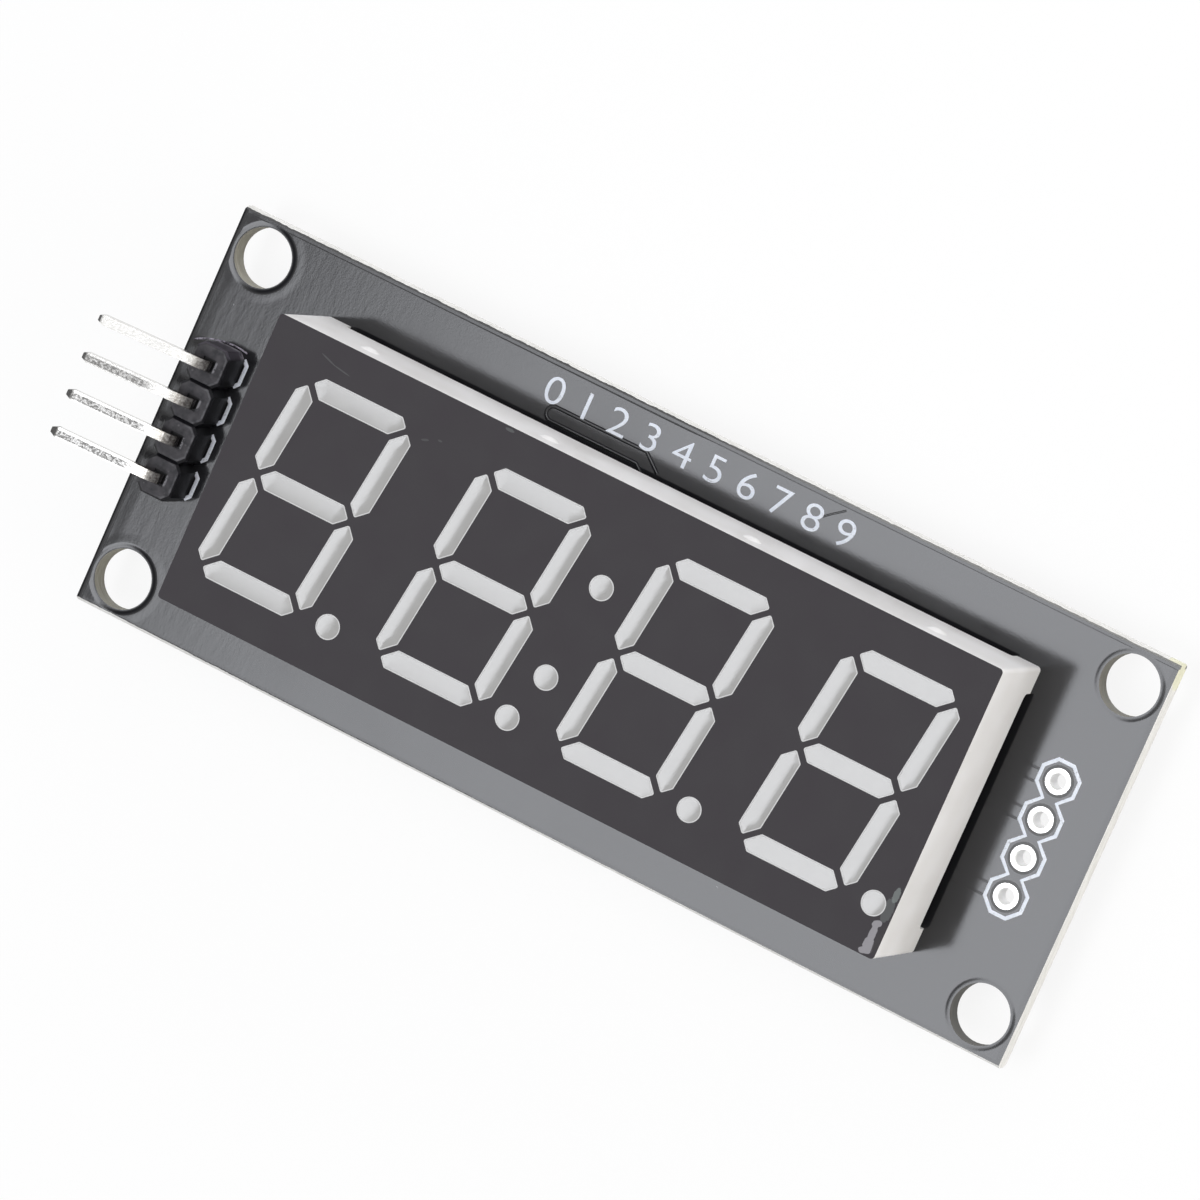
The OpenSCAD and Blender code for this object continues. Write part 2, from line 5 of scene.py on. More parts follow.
import bmesh
import bpy
from mathutils import Euler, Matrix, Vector


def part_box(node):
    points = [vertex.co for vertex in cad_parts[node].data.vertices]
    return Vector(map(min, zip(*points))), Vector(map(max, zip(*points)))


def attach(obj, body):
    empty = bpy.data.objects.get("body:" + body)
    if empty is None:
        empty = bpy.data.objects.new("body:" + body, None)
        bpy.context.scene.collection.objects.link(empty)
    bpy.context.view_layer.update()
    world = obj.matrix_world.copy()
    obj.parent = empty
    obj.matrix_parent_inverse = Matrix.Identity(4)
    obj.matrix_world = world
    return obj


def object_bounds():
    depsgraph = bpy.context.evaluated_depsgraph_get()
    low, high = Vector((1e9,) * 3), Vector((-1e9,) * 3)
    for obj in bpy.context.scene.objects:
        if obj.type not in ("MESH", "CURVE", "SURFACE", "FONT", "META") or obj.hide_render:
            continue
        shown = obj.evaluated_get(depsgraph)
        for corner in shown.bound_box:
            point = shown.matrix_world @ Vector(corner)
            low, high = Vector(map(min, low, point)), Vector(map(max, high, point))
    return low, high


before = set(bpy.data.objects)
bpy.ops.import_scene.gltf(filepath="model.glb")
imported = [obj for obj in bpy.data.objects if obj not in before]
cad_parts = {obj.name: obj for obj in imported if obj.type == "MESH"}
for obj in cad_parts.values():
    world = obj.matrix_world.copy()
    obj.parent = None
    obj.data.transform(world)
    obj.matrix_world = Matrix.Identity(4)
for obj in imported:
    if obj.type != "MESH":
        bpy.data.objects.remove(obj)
cad_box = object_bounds()

MM = 0.001
ORIGIN = (0.0, 0.0, 0.0)
EVEN = (1.0, 1.0, 1.0)
SHARP_ANGLE = math.radians(35)  # edges bent more than this are shaded sharp

# ---------------------------------------------------------------- camera
CAMERA_PLACE = (0.15768, 0.08267, 0.52233)
CAMERA_TURN = (-0.62309, 18.96484, 25.13375)  # degrees
CAMERA_LENS = 272.19
CAMERA_SENSOR = 36

# ---------------------------------------------------------------- light
TENT_LIGHT = 0.55  # what the surroundings give to rough surfaces
KEY_GLOW = 6.3  # brightness of the key softbox as a reflection shows it
KEY_TINT = (0.965, 0.985, 1.03)
KEY_HEIGHT = 3.0
KEY_REACH_X = (-0.386, -0.05)  # its sides, as slopes seen from the object
KEY_REACH_Y = (-0.52, 0.20)
KEY_TURN = -20  # degrees about the vertical
KEY_SOFT = 0.045  # slope over which its edges rise to most of the light
KEY_LATE = 0.075  # slope over which they reach all of it
KEY_EARLY = 0.9  # share of the light that the first rise gives
SIDE_SIZE = 0.5
SIDE_AWAY = 0.45
SIDE_HEIGHT = 0.13
SIDE_LIGHTS = {  # direction, brightness, tint
    "fill_x": ((1, 0), 3.25, (1.0, 0.96, 0.89)),
    "fill_y": ((0, 1), 2.8, (0.99, 0.985, 1.0)),
}
SIDE_AIM = (0, 0, 0.005)
SIDE_EDGES = ((0.1, 0.1), (0.2, 0.2))  # shares of the sides over which the light rises steeply, slowly

# The lamp below and the panel that gloss shows there: middle, size, aim, glow, tint and edges
UNDER_LIGHT = ((0.0, 0.0, -0.5), (0.5, 0.5), ORIGIN, 3.0, EVEN, (0.3, 0.3), (0.4, 0.4))
UNDER_CARD = ((0.0, 0.42, -0.6), (1.6, 0.6), ORIGIN, 3.2, EVEN, (0.25, 0.35), (0.45, 0.48))
FLOOR_SIZE = 4.0
FLOOR_PAINT = 0.86
FLOOR_SHADE = 0.14  # share of the floor's white that a shadow can take away
FLOOR_NEAR = 0.007  # the floor is open to light that comes from nearer than this, from the underside

# ---------------------------------------------------------------- places read from the CAD
BOARD_LOW, BOARD_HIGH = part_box("circuit_board")
FACE_LOW, FACE_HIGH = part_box("face_ink")
CHAIN_LOW, CHAIN_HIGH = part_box("chain_pads")
HEADER_LOW, HEADER_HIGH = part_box("header_pads")
HEADER_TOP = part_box("header_body")[1].z
HEADER_OUTLINE = (1.08, 1.15, 0.42)  # half-sizes of one unit's top and its corners' cuts, in mm
BOARD_TOP = BOARD_HIGH.z
BOARD_UNDER = BOARD_LOW.z
PITCH = 2.54 * MM
ROW = [1.5 * PITCH, 0.5 * PITCH, -0.5 * PITCH, -1.5 * PITCH]  # y of the four pads at each end
ROW_X = {"chain": (CHAIN_LOW.x + CHAIN_HIGH.x) / 2, "header": (HEADER_LOW.x + HEADER_HIGH.x) / 2}
PIN_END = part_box("header_pin_1")[0].x
DISPLAY_RING = 0.74 * MM  # radius of a display pad's ring
DISPLAY_ROW = (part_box("display_pads")[1].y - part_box("display_pads")[0].y) / 2 - DISPLAY_RING
HOLE = Vector((BOARD_HIGH.x - 2.35 * MM, BOARD_HIGH.y - 2.48 * MM, 0))  # middle of a corner hole

# ---------------------------------------------------------------- copper under the mask
POUR_EDGE = Vector((0.38, 0.44)) * MM  # from the board's edges to the copper's
HOLE_RADIUS = 1.9 * MM
HOLE_RING = 2.12 * MM  # radius of the copper's clearance round a corner hole
COPPER_HIGH = 0.024  # height in mm of the coat over copper above the coat beside it
STEP_WIDE = 0.16  # width in mm of that step along the board's edges
LEFT_FALL = 0.017  # how far the coat falls, in mm, outside the copper on the left edge
STEP_FAINT = 0.2  # share of its height at every edge, and all that the right and lower ones have
RING_WIDE = 0.34  # width of the step round the corner holes
BEAD_FALL = 0.004  # how far, in mm, the coat falls again outside that step
BEAD_WIDE = 0.6
COAT_THINS = (0.3, 1.2, 0.007)  # between these distances to a short edge it rises by this height
RAGGED = (0.02, 0.16)  # how far from a long edge the torn coat ends: least, and more with the tears
SLOPE_COATED = 0.3  # how far down the upper edge's slope the coat goes, in mm
RUBBED = (0.0, 14.0, 0.0, 0.8)  # x from and to which that slope is rubbed grey, and by what share
GROOVE_FROM = (-30.9, -29.9)  # x between which the painted shade in the groove of a hole sets in, as gloss taken away
RIM_DIRT = (0.15, 0.09, 0.85)  # mm from the left edge where its dirt starts and is full; its share
COAT_WAVES = 0.0022  # height in mm of the slow waves in the coat
COAT_STREAKS = 0.0034  # and of the streaks near the header
PAD_BORE = 0.5 * MM  # radius of the hole in an empty pad
OPENING = 1.0 * MM  # radius of the mask's opening round a pad
RELIEF_WIDE = 0.14 * MM
RELIEF_HIGH = 0.019 * MM
TRACE_SHADE = 0.27 * MM  # width of the dull black painted shade beside the edges of the wide trace
CHAIN_TRACES = (3.59, 1.09, -3.94)  # middles of the wide traces to the chain row, in mm
CHAIN_TRACE_W = 0.8 * MM
CHAIN_TRACE_FROM = 24 * MM
CHAIN_TRACE_GAP = 0.13 * MM  # from its end to the printed outline
UNDER_TRACE_W = 0.34 * MM
UNDER_TRACE_H = 0.03 * MM
LEAD_PITCH = 1.27  # of the chip's leads, in mm
UNDER_WAYS = [  # of the traces on one half of the underside, in mm
    [(-4.9, 5.35), (-5.6, 5.3), (-26, 5.3), (-27.2, 3.9), (-29.1, 3.81)],
    [(5.4, 5.35), (6.1, 5.9), (24.6, 5.9), (26.7, 3.81), (27.9, 3.81)],
    [(5.9, 5.35), (6.6, 6.5), (25.2, 6.5), (27.2, 1.27), (27.9, 1.27)],
    [(-29.1, 1.27), (-26.0, 1.27), (-25.4, 2)],
    [(-23.8, 2), (-22.0, 2)],
    [(-20.0, 2), (-14.6, 2)],
    [(-12.2, 2), (-8.2, 2), (-7.2, 5.35), (-5.8, 5.35)],
]
VIA_RADIUS = 0.26 * MM
VIAS = [(-17.4, 0.0), (-10.2, -3.4), (-10.2, 3.4), (9.6, 1.6), (9.6, -1.6), (14.2, 0.0),
        (19.8, 3.0), (19.8, -3.0), (-26.4, 6.9), (24.6, 8.4), (-24.0, -8.8), (12.0, 9.8)]
TRACE_WAY = [(-9.3, 10.2), (-3.05, 10.2), (-2.0, 9.35)]  # middle of a wide trace, in mm
TRACE_HALF = 0.46  # half its width
SHORT_EDGE = [(8.6, 11.6), (9.3, 12.2), (10.1, 12.8)]  # a short edge of copper above the display
FLUX_ARC = (-29.9, 0.23, 5.0)  # middle and radius of the line of dried flux at the header's end
FLUX_ENDS = (79, 122)  # degrees
FLUX_WIDE = 0.1 * MM
FLUX_HIGH = 0.02 * MM

# ---------------------------------------------------------------- resin and rims
RIM_WIDTH = 0.07 * MM
RIM_LOW = 0.048 * MM  # thickness of the white lip round a window
FACE_BACK = 0.002 * MM  # what the lip stays below the print
DISH_DEPTH = 0.024 * MM
FLAT_SHARE = 0.5  # share of that depth in the level windows
DISH_DROP = 0.021 * MM  # what the surface lies lower at its -X side than at its +X side
DISH_REACH = 0.61 * MM  # from the lip to the bottom of the dish
DISH_CELL = 0.085 * MM
WINDOW_MOST = 10 * MM  # no window is wider
ROUND_CORNERS = 30  # a face with more corners is a round window
COLON_AT = 2 * MM  # and is one of the colon nearer than this to the middle

# ---------------------------------------------------------------- wear of the face
BARE_FILM = (0.29, 0.28, 0.30)
THIN_FILM = (0.105, 0.11, 0.112)
GREEN_FILM = (0.2, 0.225, 0.22)
BLACK_LEFT = (0.035, 0.03, 0.033)
FACE_WEAR = [  # from the lower right corner in mm, half-lengths, turn in degrees, edge, share, colour
    (-0.42, 3.1, (0.34, 0.8), 0, 0.15, 0.75, THIN_FILM),
    (-0.3, 4.1, (0.2, 0.5), 0, 0.15, 0.7, GREEN_FILM),
    (-0.68, 2.07, (0.33, 0.2), 30, 0.12, 1.0, BARE_FILM),
    (-0.68, 1.4, (0.22, 0.7), 0, 0.12, 1.0, BARE_FILM),
    (-0.66, 0.7, (0.33, 0.5), 8, 0.12, 1.0, BARE_FILM),
    (-0.7, 0.34, (0.46, 0.22), 20, 0.12, 1.0, BARE_FILM),
    (-0.2, 1.2, (0.16, 1.0), -4, 0.12, 0.85, BLACK_LEFT),
    (-46.3, 17.72, (0.56, 0.05), -18, 0.06, 0.5, THIN_FILM),
    (-45.25, 17.47, (0.6, 0.045), -9, 0.06, 0.5, THIN_FILM),
    (-38.63, 15.95, (0.25, 0.07), 20, 0.2, 0.4, THIN_FILM),
    (-37.73, 16.3, (0.16, 0.06), 0, 0.2, 0.4, THIN_FILM),
    (-33.96, 18.78, (0.3, 0.1), 0, 0.15, 0.7, THIN_FILM),
]

# ---------------------------------------------------------------- tin
PIN_BAND = (-31.9, -33.0)  # x in mm between which the scratched band of a pin sets in
PIN_BEND = (-31.6, -30.8)  # and the bend, painted tan as a painted reflection
PIN_SHADE = (-30.85, -30.25)  # and where that bend darkens to painted shade at the header
PIN_CUT = (0.34, 0.2)  # mm from its end where the dark of the cut starts and is full
PAD_LIGHT = (0.90, 0.89, 0.87)
PAD_DARK = (0.76, 0.75, 0.73)

# ---------------------------------------------------------------- print on the board
PRINT_THICK = 0.02 * MM
PRINT_LINE = 0.25 * MM
OCTAGON = 1.235 * MM  # from a pad's middle to the outline's straight sides
NECK = 0.47 * MM
HEADER_OCTAGON = 1.455 * MM
HEADER_SLANT = 0.3 * MM
HEADER_LINE = 0.27 * MM
UNDER_PRINT_LINE = 0.16 * MM
SMALL_PARTS = [(-21, 2, 1.6), (-21, -2, 1.6), (-24.6, 2, 1.6), (-24.6, -2, 1.6), (-13.6, 2, 1.6),
               (-13.6, -2, 2.0)]  # middle and height of the outline round each, in mm
SMALL_PART_WIDE = 3.4
CHIP_OUTLINE = (0, 0, 13.6, 8.2)  # middle and size in mm
CHIP_MARK = (-7.6, -4.7, 0.35)  # middle and radius of the ring at the chip's first lead
NUMERALS = "0 1 2 3 4 5 6 7 8 9"
NUMERALS_PLACE = (0.4 * MM, 10.68 * MM, BOARD_TOP)
NUMERALS_TALL = 1.72 * MM
NUMERALS_LONG = 21.6 * MM
NUMERALS_THINNER = -0.008  # offset of their strokes, in heights of the letters


# ================================================================ node helpers
def fill(made, values):
    """Gives a node its inputs: a socket is linked, any other value is set. In a name, _ is a space."""
    for key, value in values.items():
        given = made.inputs[key.replace("_", " ") if isinstance(key, str) else key]
        if isinstance(value, bpy.types.NodeSocket):
            made.id_data.links.new(value, given)
        else:
            given.default_value = value


def node(tree, kind, inputs=None, **settings):
    """A new node with these settings and inputs."""
    made = tree.nodes.new(kind)
    for key, value in settings.items():
        setattr(made, key, value)
    fill(made, inputs or {})
    return made


def node_after(kind, inputs, **settings):
    """A new node in the tree that the sockets among its inputs are in."""
    tree = next(value.id_data for value in inputs.values() if isinstance(value, bpy.types.NodeSocket))
    return node(tree, kind, inputs, **settings)


def maths(operation, *values):
    """The result of a Math node."""
    return node_after("ShaderNodeMath", dict(enumerate(values)), operation=operation).outputs[0]


def in_turn(operation):
    """A function that joins values by an operation of the Math node, from left to right."""
    def join(first, *others):
        for other in others:
            first = maths(operation, first, other)
        return first
    return join


times, plus, minus, larger, smaller, under, over = (in_turn(operation) for operation in (
    "MULTIPLY", "ADD", "SUBTRACT", "MAXIMUM", "MINIMUM", "LESS_THAN", "GREATER_THAN"))


def distance(value, middle=None):
    """How far a value is from a middle, or from 0."""
    return maths("ABSOLUTE", value if middle is None else minus(value, middle))


def vector_maths(operation, inputs, output=0):
    """The result of a Vector Math node."""
    return node_after("ShaderNodeVectorMath", inputs, operation=operation).outputs[output]


def paint(r, g, b):
    return (r, g, b, 1.0)


def grey(level):
    return (level, level, level, 1.0)


def blend_colour(factor, *colours):
    """The first colour where the factor is 0, and the second where it is 1."""
    a, b = (paint(*colour) if isinstance(colour, tuple) else colour for colour in colours)
    return node_after("ShaderNodeMix", {0: factor, 6: a, 7: b}, data_type="RGBA").outputs[2]


def layers(colour, *coats):
    """A colour with coats laid over it in turn, each a mask and its colour."""
    for mask, coat in coats:
        colour = blend_colour(mask, colour, coat)
    return colour


def ramp(value, low, high, to_low=0.0, to_high=1.0, kind="LINEAR"):
    """A value taken from the range low to high into another, and held at its ends."""
    return node_after("ShaderNodeMapRange", {
        "Value": value, "From Min": low, "From Max": high, "To Min": to_low, "To Max": to_high},
        interpolation_type=kind).outputs[0]


def smooth_rise(value, low, high, rise):
    """A smooth step from 0 to a rise as a value goes from low to high."""
    return ramp(value, low, high, 0.0, rise, "SMOOTHSTEP")


def between(share, low, high):
    """A number that is low where a share is 0, and high where it is 1."""
    return ramp(share, 0.0, 1.0, low, high)


def noise(place, scale, detail, roughness=0.5):
    """Clouds of noise, mostly between 0.3 and 0.7."""
    return node_after("ShaderNodeTexNoise", {
        "Vector": place, "Scale": scale, "Detail": detail, "Roughness": roughness}).outputs[0]


def millimetres(tree):
    """Object coordinates in millimetres."""
    place = node(tree, "ShaderNodeTexCoord").outputs["Object"]
    return vector_maths("SCALE", {0: place, "Scale": 1 / MM})


def axes(place):
    """The three coordinates of a place."""
    return node_after("ShaderNodeSeparateXYZ", {0: place}).outputs


def length_of(a, b):
    """Length of a vector in the plane."""
    return maths("SQRT", plus(times(a, a), times(b, b)))


def off_centre(value, step):
    """How far a coordinate is from the nearest of the places half-way between steps."""
    part = maths("FRACT", maths("DIVIDE", value, step))
    return times(minus(part, 0.5), step)


# ================================================================ shared effects
def new_group(name, inputs, outputs):
    """An empty node group with these inputs and number outputs: its tree and its two end nodes."""
    tree = bpy.data.node_groups.new(name, "ShaderNodeTree")
    for label, value in inputs.items():
        kind = "NodeSocketFloat" if isinstance(value, float) else "NodeSocketVector"
        tree.interface.new_socket(label, in_out="INPUT", socket_type=kind).default_value = value
    for label in outputs:
        tree.interface.new_socket(label, in_out="OUTPUT", socket_type="NodeSocketFloat")
    return tree, tree.nodes.new("NodeGroupInput").outputs, tree.nodes.new("NodeGroupOutput")


def grain_group():
    """Fine grain of a moulded or coated surface, with a slower unevenness under it."""
    tree, given, out = new_group(
        "surface_grain", {"Place": ORIGIN, "Fine": 6.0, "Coarse": 0.8, "Coarse Share": 0.4},
        ("Height", "Cloud"))
    fine = noise(given["Place"], given["Fine"], 3.0, 0.6)
    coarse = noise(given["Place"], given["Coarse"], 2.0)
    share = given["Coarse Share"]
    height = plus(times(fine, minus(1.0, share)), times(coarse, share))
    fill(out, {"Height": height, "Cloud": ramp(coarse, 0.3, 0.7)})
    return tree


def specks_group():
    """Small scattered specks of dust or flux. Each has its own size, and most cells have none."""
    tree, given, out = new_group(
        "scattered_specks", {"Place": ORIGIN, "Density": 1.0, "Radius": 0.08, "Share": 0.3}, ("Mask",))
    cells = node_after("ShaderNodeTexVoronoi", {"Vector": given["Place"], "Scale": given["Density"]})
    chance = axes(cells.outputs["Color"])
    size = times(given["Radius"], chance[1], given["Density"])
    inside = ramp(cells.outputs["Distance"], size, 0.0)
    fill(out, {"Mask": times(inside, under(chance[0], given["Share"]))})
    return tree


def streaks_group():
    """Fine lines drawn out along one axis, as rolled or drawn metal and brushed coats have."""
    tree, given, out = new_group(
        "drawn_streaks", {"Place": ORIGIN, "Stretch": EVEN, "Scale": 1.0}, ("Height", "Mask"))
    drawn = vector_maths("MULTIPLY", {0: given["Place"], 1: given["Stretch"]})
    lines = noise(drawn, given["Scale"], 4.0, 0.65)
    fill(out, {"Height": lines, "Mask": ramp(lines, 0.38, 0.62)})
    return tree


def patch_group():
    """A patch with a ragged edge round one place, such as worn print or a dab of residue."""
    tree, given, out = new_group(
        "ragged_patch", {"Place": ORIGIN, "Middle": ORIGIN, "Spread": EVEN, "Turn": 0.0,
                         "Ragged": 0.3, "Fineness": 2.0}, ("Mask",))
    away = vector_maths("SUBTRACT", {0: given["Place"], 1: given["Middle"]})
    away = node_after("ShaderNodeVectorRotate", {"Vector": away, "Angle": given["Turn"]},
                      rotation_type="Z_AXIS").outputs[0]
    away = vector_maths("DIVIDE", {0: away, 1: given["Spread"]})
    length = vector_maths("LENGTH", {0: away}, "Value")
    rough = noise(given["Place"], given["Fineness"], 3.0)
    edge = plus(length, times(minus(rough, 0.5), given["Ragged"], 4.0))
    fill(out, {"Mask": ramp(edge, 1.05, 0.95)})
    return tree


GRAIN = grain_group()
SPECKS = specks_group()
STREAKS = streaks_group()
PATCH = patch_group()


def use_group(group, **inputs):
    """The outputs of a group placed in a material."""
    return node_after("ShaderNodeGroup", inputs, node_tree=group).outputs


def grain_of(place, fine, coarse, coarse_share):
    """Height and Cloud of a grain, from how many marks of each kind there are to a millimetre."""
    return use_group(GRAIN, Place=place, Fine=fine, Coarse=coarse, Coarse_Share=coarse_share)


def specks_of(place, density, radius, share):
    """1 on scattered specks: cells to a millimetre, largest radius, share of the cells with one."""
    return use_group(SPECKS, Place=place, Density=density, Radius=radius, Share=share)["Mask"]


def streaks_of(place, stretch, scale):
    """Height and Mask of drawn streaks."""
    return use_group(STREAKS, Place=place, Stretch=stretch, Scale=scale)


def patch_of(place, middle, spread, turn, ragged, fineness):
    """1 on a ragged patch round a middle, of these half-lengths, turned by an angle."""
    return use_group(PATCH, Place=place, Middle=middle, Spread=spread, Turn=turn,
                     Ragged=ragged, Fineness=fineness)["Mask"]


# ================================================================ materials
def new_material(name, **plain):
    """A material and the place in mm. Values of its shader that are the same all over are set."""
    material = bpy.data.materials.new(name)
    material.use_nodes = True
    fill(material.node_tree.nodes["Principled BSDF"], plain)
    return material, millimetres(material.node_tree)


def finish_material(material, colour, rough, height, depth, **others):
    """Feeds a material's shader. A full step of the height is as many mm high as the depth."""
    relief = node_after("ShaderNodeBump", {"Height": height, "Distance": depth * MM})
    fill(material.node_tree.nodes["Principled BSDF"], {
        "Base_Color": colour, "Roughness": rough, "Normal": relief.outputs[0], **others})
    return material


def grained(name, ior, grain, low, high, rough, depth, specks=None, cover=1.0, speck_colour=None):
    """A finish whose colour and roughness follow the clouds of its grain, with specks of one colour
    that cover it by a share."""
    material, place = new_material(name, IOR=ior)
    grain = grain_of(place, *grain)
    colour = blend_colour(grain["Cloud"], low, high)
    if specks:
        colour = blend_colour(times(specks_of(place, *specks), cover), colour, speck_colour)
    rough = between(grain["Cloud"], *rough)
    return finish_material(material, colour, rough, grain["Height"], depth)


def near_pads(x, y):
    """1 on the bare laminate that the mask leaves open round every pad."""
    step, opening = PITCH / MM, OPENING / MM
    rings = 0.0
    for row_x in (ROW_X["chain"], ROW_X["header"]):
        away = length_of(minus(x, row_x / MM), off_centre(y, step))
        ring = times(ramp(away, opening, opening - 0.05), under(distance(y), 2 * step))
        rings = larger(rings, ring)
    across = minus(distance(y), DISPLAY_ROW / MM)
    away = length_of(off_centre(x, step), across)
    ring = times(ramp(away, opening - 0.1, opening - 0.15), under(distance(x), 3 * step))
    return larger(rings, ring)


def coat_relief(x, y, far_x, from_edge, from_hole):
    """Height of the coat, in mm: it steps up over the copper, inside the board's edges and round
    the corner holes, and thins towards the short edges."""
    left = plus(x, (BOARD_HIGH.x - POUR_EDGE.x) / MM)
    upper = minus((BOARD_HIGH.y - POUR_EDGE.y) / MM, y)
    half = STEP_WIDE / 2
    high = plus(ramp(x, -22.0, -4.0, 1.5 * COPPER_HIGH, 0.5 * COPPER_HIGH),
                ramp(x, 2.0, 16.0, 0.0, 0.4 * COPPER_HIGH))
    edge = plus(smooth_rise(smaller(left, upper), -half, half, high),
                smooth_rise(from_edge, -half, half, STEP_FAINT * COPPER_HIGH),
                smooth_rise(left, -POUR_EDGE.x / MM, -half, LEFT_FALL))
    inner, outer = HOLE_RING / MM - RING_WIDE / 2, HOLE_RING / MM + RING_WIDE / 2
    ring_high = ramp(x, -1.0, 1.0, 1.35 * COPPER_HIGH, COPPER_HIGH)
    copper = smaller(edge, smooth_rise(from_hole, inner, outer, ring_high))
    bead = smooth_rise(from_hole, outer, outer + BEAD_WIDE, -BEAD_FALL)
    return plus(copper, bead, smooth_rise(far_x, *COAT_THINS))


def laminate_side(place, x, y, from_hole, half):
    """Colour of the board's sides: pale glass fibre in layers, darker and browner in the holes, and the
    walls of the holes at the right end darkened nearly to black by painted shade, most at the lower one.
    """
    plies = streaks_of(place, (0.6, 0.6, 7.0), 1.6)["Mask"]
    pale = blend_colour(plies, (0.70, 0.695, 0.665), (0.90, 0.895, 0.88))
    bare = blend_colour(plies, (0.23, 0.215, 0.17), (0.36, 0.345, 0.285))
    # Painted shade: the walls of the right-hand holes darken nearly to black, more at the lower one
    shaded_right_holes = times(ramp(x, -1.0, 1.0), ramp(y, -1.0, 1.0, 0.8, 0.45))
    bare = blend_colour(shaded_right_holes, bare, (0.03, 0.03, 0.032))
    corner = patch_of(place, (BOARD_HIGH.x / MM, BOARD_HIGH.y / MM, half), (0.9, 1.7, 3.0),
                      0.0, 0.2, 1.5)
    return layers(pale, (under(from_hole, HOLE_RADIUS / MM + 0.1), bare),
                  (times(corner, 0.6), (0.80, 0.79, 0.50)))


def groove_shade_and_rim_dirt(x, from_hole):
    """1 where the gloss is taken away: painted shade in the groove round the holes of the header's end,
    and dirt along that end's edge."""
    ring = HOLE_RING / MM
    # Painted shade: the groove's gloss is taken away on its right side
    groove = times(ramp(from_hole, HOLE_RADIUS / MM + 0.02, ring - 0.08),
                   ramp(from_hole, ring + 0.14, ring), ramp(x, *GROOVE_FROM), under(x, 0.0))
    starts, full, share = RIM_DIRT
    rim = ramp(plus(x, BOARD_HIGH.x / MM), starts, full)
    return larger(groove, times(rim, share))


def solder_mask():
    """Glossy black coat on both faces; bare laminate on the edges and in the holes."""
    material, place = new_material("glossy_black_mask")
    x, y, z = axes(place)
    half = (BOARD_TOP - BOARD_UNDER) / 2 / MM
    depth = distance(z, BOARD_UNDER / MM + half)
    far_x = minus(BOARD_HIGH.x / MM, distance(x))
    far_y = minus(BOARD_HIGH.y / MM, distance(y))
    from_edge = smaller(minus(far_x, POUR_EDGE.x / MM), minus(far_y, POUR_EDGE.y / MM))
    from_hole = length_of(minus(distance(x), HOLE.x / MM), minus(distance(y), HOLE.y / MM))

    # The coat ends raggedly at the long edges, and goes down the slope of the upper one
    torn = grain_of(place, 3.5, 1.2, 0.5)["Height"]
    ragged = plus(RAGGED[0], times(torn, RAGGED[1]))
    bared = times(ramp(y, 0.0, -1.0), ramp(x, -30.0, 20.0, 0.13, 0.0))
    inward = minus(far_y, plus(ragged, bared))
    down = times(ramp(y, 0.0, 1.0, 0.0, SLOPE_COATED), under(far_y, 0.35))
    level = half - 0.004
    coated = times(over(inward, 0.0), over(depth, minus(level, down)))

    # A dusty black, rubbed grey on part of that slope, and open round the pads
    cloud = grain_of(place, 9.0, 0.22, 0.35)
    rubbed = times(under(depth, level), ramp(x, *RUBBED))
    open_ring = near_pads(x, y)
    coat = layers((0.0085, 0.0085, 0.0105),
                  (cloud["Cloud"], (0.014, 0.014, 0.016)),
                  (specks_of(place, 0.9, 0.06, 0.12), (0.45, 0.45, 0.47)),
                  (rubbed, (0.22, 0.22, 0.215)),
                  (open_ring, (0.13, 0.132, 0.136)))

    # A little duller where no copper lies under it
    over_copper = times(ramp(from_edge, -0.05, 0.0),
                        ramp(from_hole, HOLE_RING / MM - 0.04, HOLE_RING / MM))
    gloss = plus(between(cloud["Cloud"], 0.09, 0.125), times(minus(1.0, over_copper), 0.05))
    gloss = between(larger(open_ring, rubbed), gloss, 0.7)

    streaks = streaks_of(place, (1.7, 0.4, 1.0), 1.0)["Height"]
    height = plus(times(cloud["Height"], COAT_WAVES),
                  times(streaks, ramp(x, -14.0, -27.0), COAT_STREAKS),
                  coat_relief(x, y, far_x, from_edge, from_hole),
                  times(smooth_rise(inward, 0.0, 0.1, 0.011), ramp(y, 0.0, -1.0)))
    side = laminate_side(place, x, y, from_hole, half)
    return finish_material(
        material, blend_colour(coated, side, coat), between(coated, 0.75, gloss),
        height, 1.0, IOR=between(groove_shade_and_rim_dirt(x, from_hole), 1.52, 1.15))


def white_plastic(name, low, high):
    """Moulded white reflector: faint flow marks and a fine satin grain."""
    return grained(name, 1.5, (5.0, 0.35, 0.5), low, high, (0.34, 0.46), 0.01,
                   (1.1, 0.09, 0.1), 1.0, (0.6, 0.57, 0.53))


def face_print():
    """Matt black print, worn through to a grey film at one corner, with a few light scuffs."""
    material, place = new_material("matt_face_print", IOR=1.45)
    grain = grain_of(place, 11.0, 0.5, 0.3)
    coats = [(grain["Cloud"], (0.033, 0.0285, 0.0335))]
    corner = Vector((FACE_HIGH.x, FACE_LOW.y, FACE_HIGH.z)) / MM
    for across, along, spread, turn, ragged, share, worn in FACE_WEAR:
        patch = patch_of(place, corner + Vector((across, along, 0)), spread + (5.0,),
                         math.radians(-turn), ragged, 5.0)
        coats.append((times(patch, share), worn))
    coats.append((specks_of(place, 0.8, 0.05, 0.1), (0.12, 0.11, 0.12)))
    colour = layers((0.027, 0.0235, 0.0275), *coats)
    rough = between(grain["Cloud"], 0.62, 0.7)
    return finish_material(material, colour, rough, grain["Height"], 0.006)


def milky_resin():
    """Cast milky resin, glossy where its surface is free."""
    return grained("milky_cast_resin", 1.62, (3.0, 0.6, 0.7), (0.365, 0.36, 0.352),
                   (0.395, 0.39, 0.382), (0.09, 0.14), 0.002)


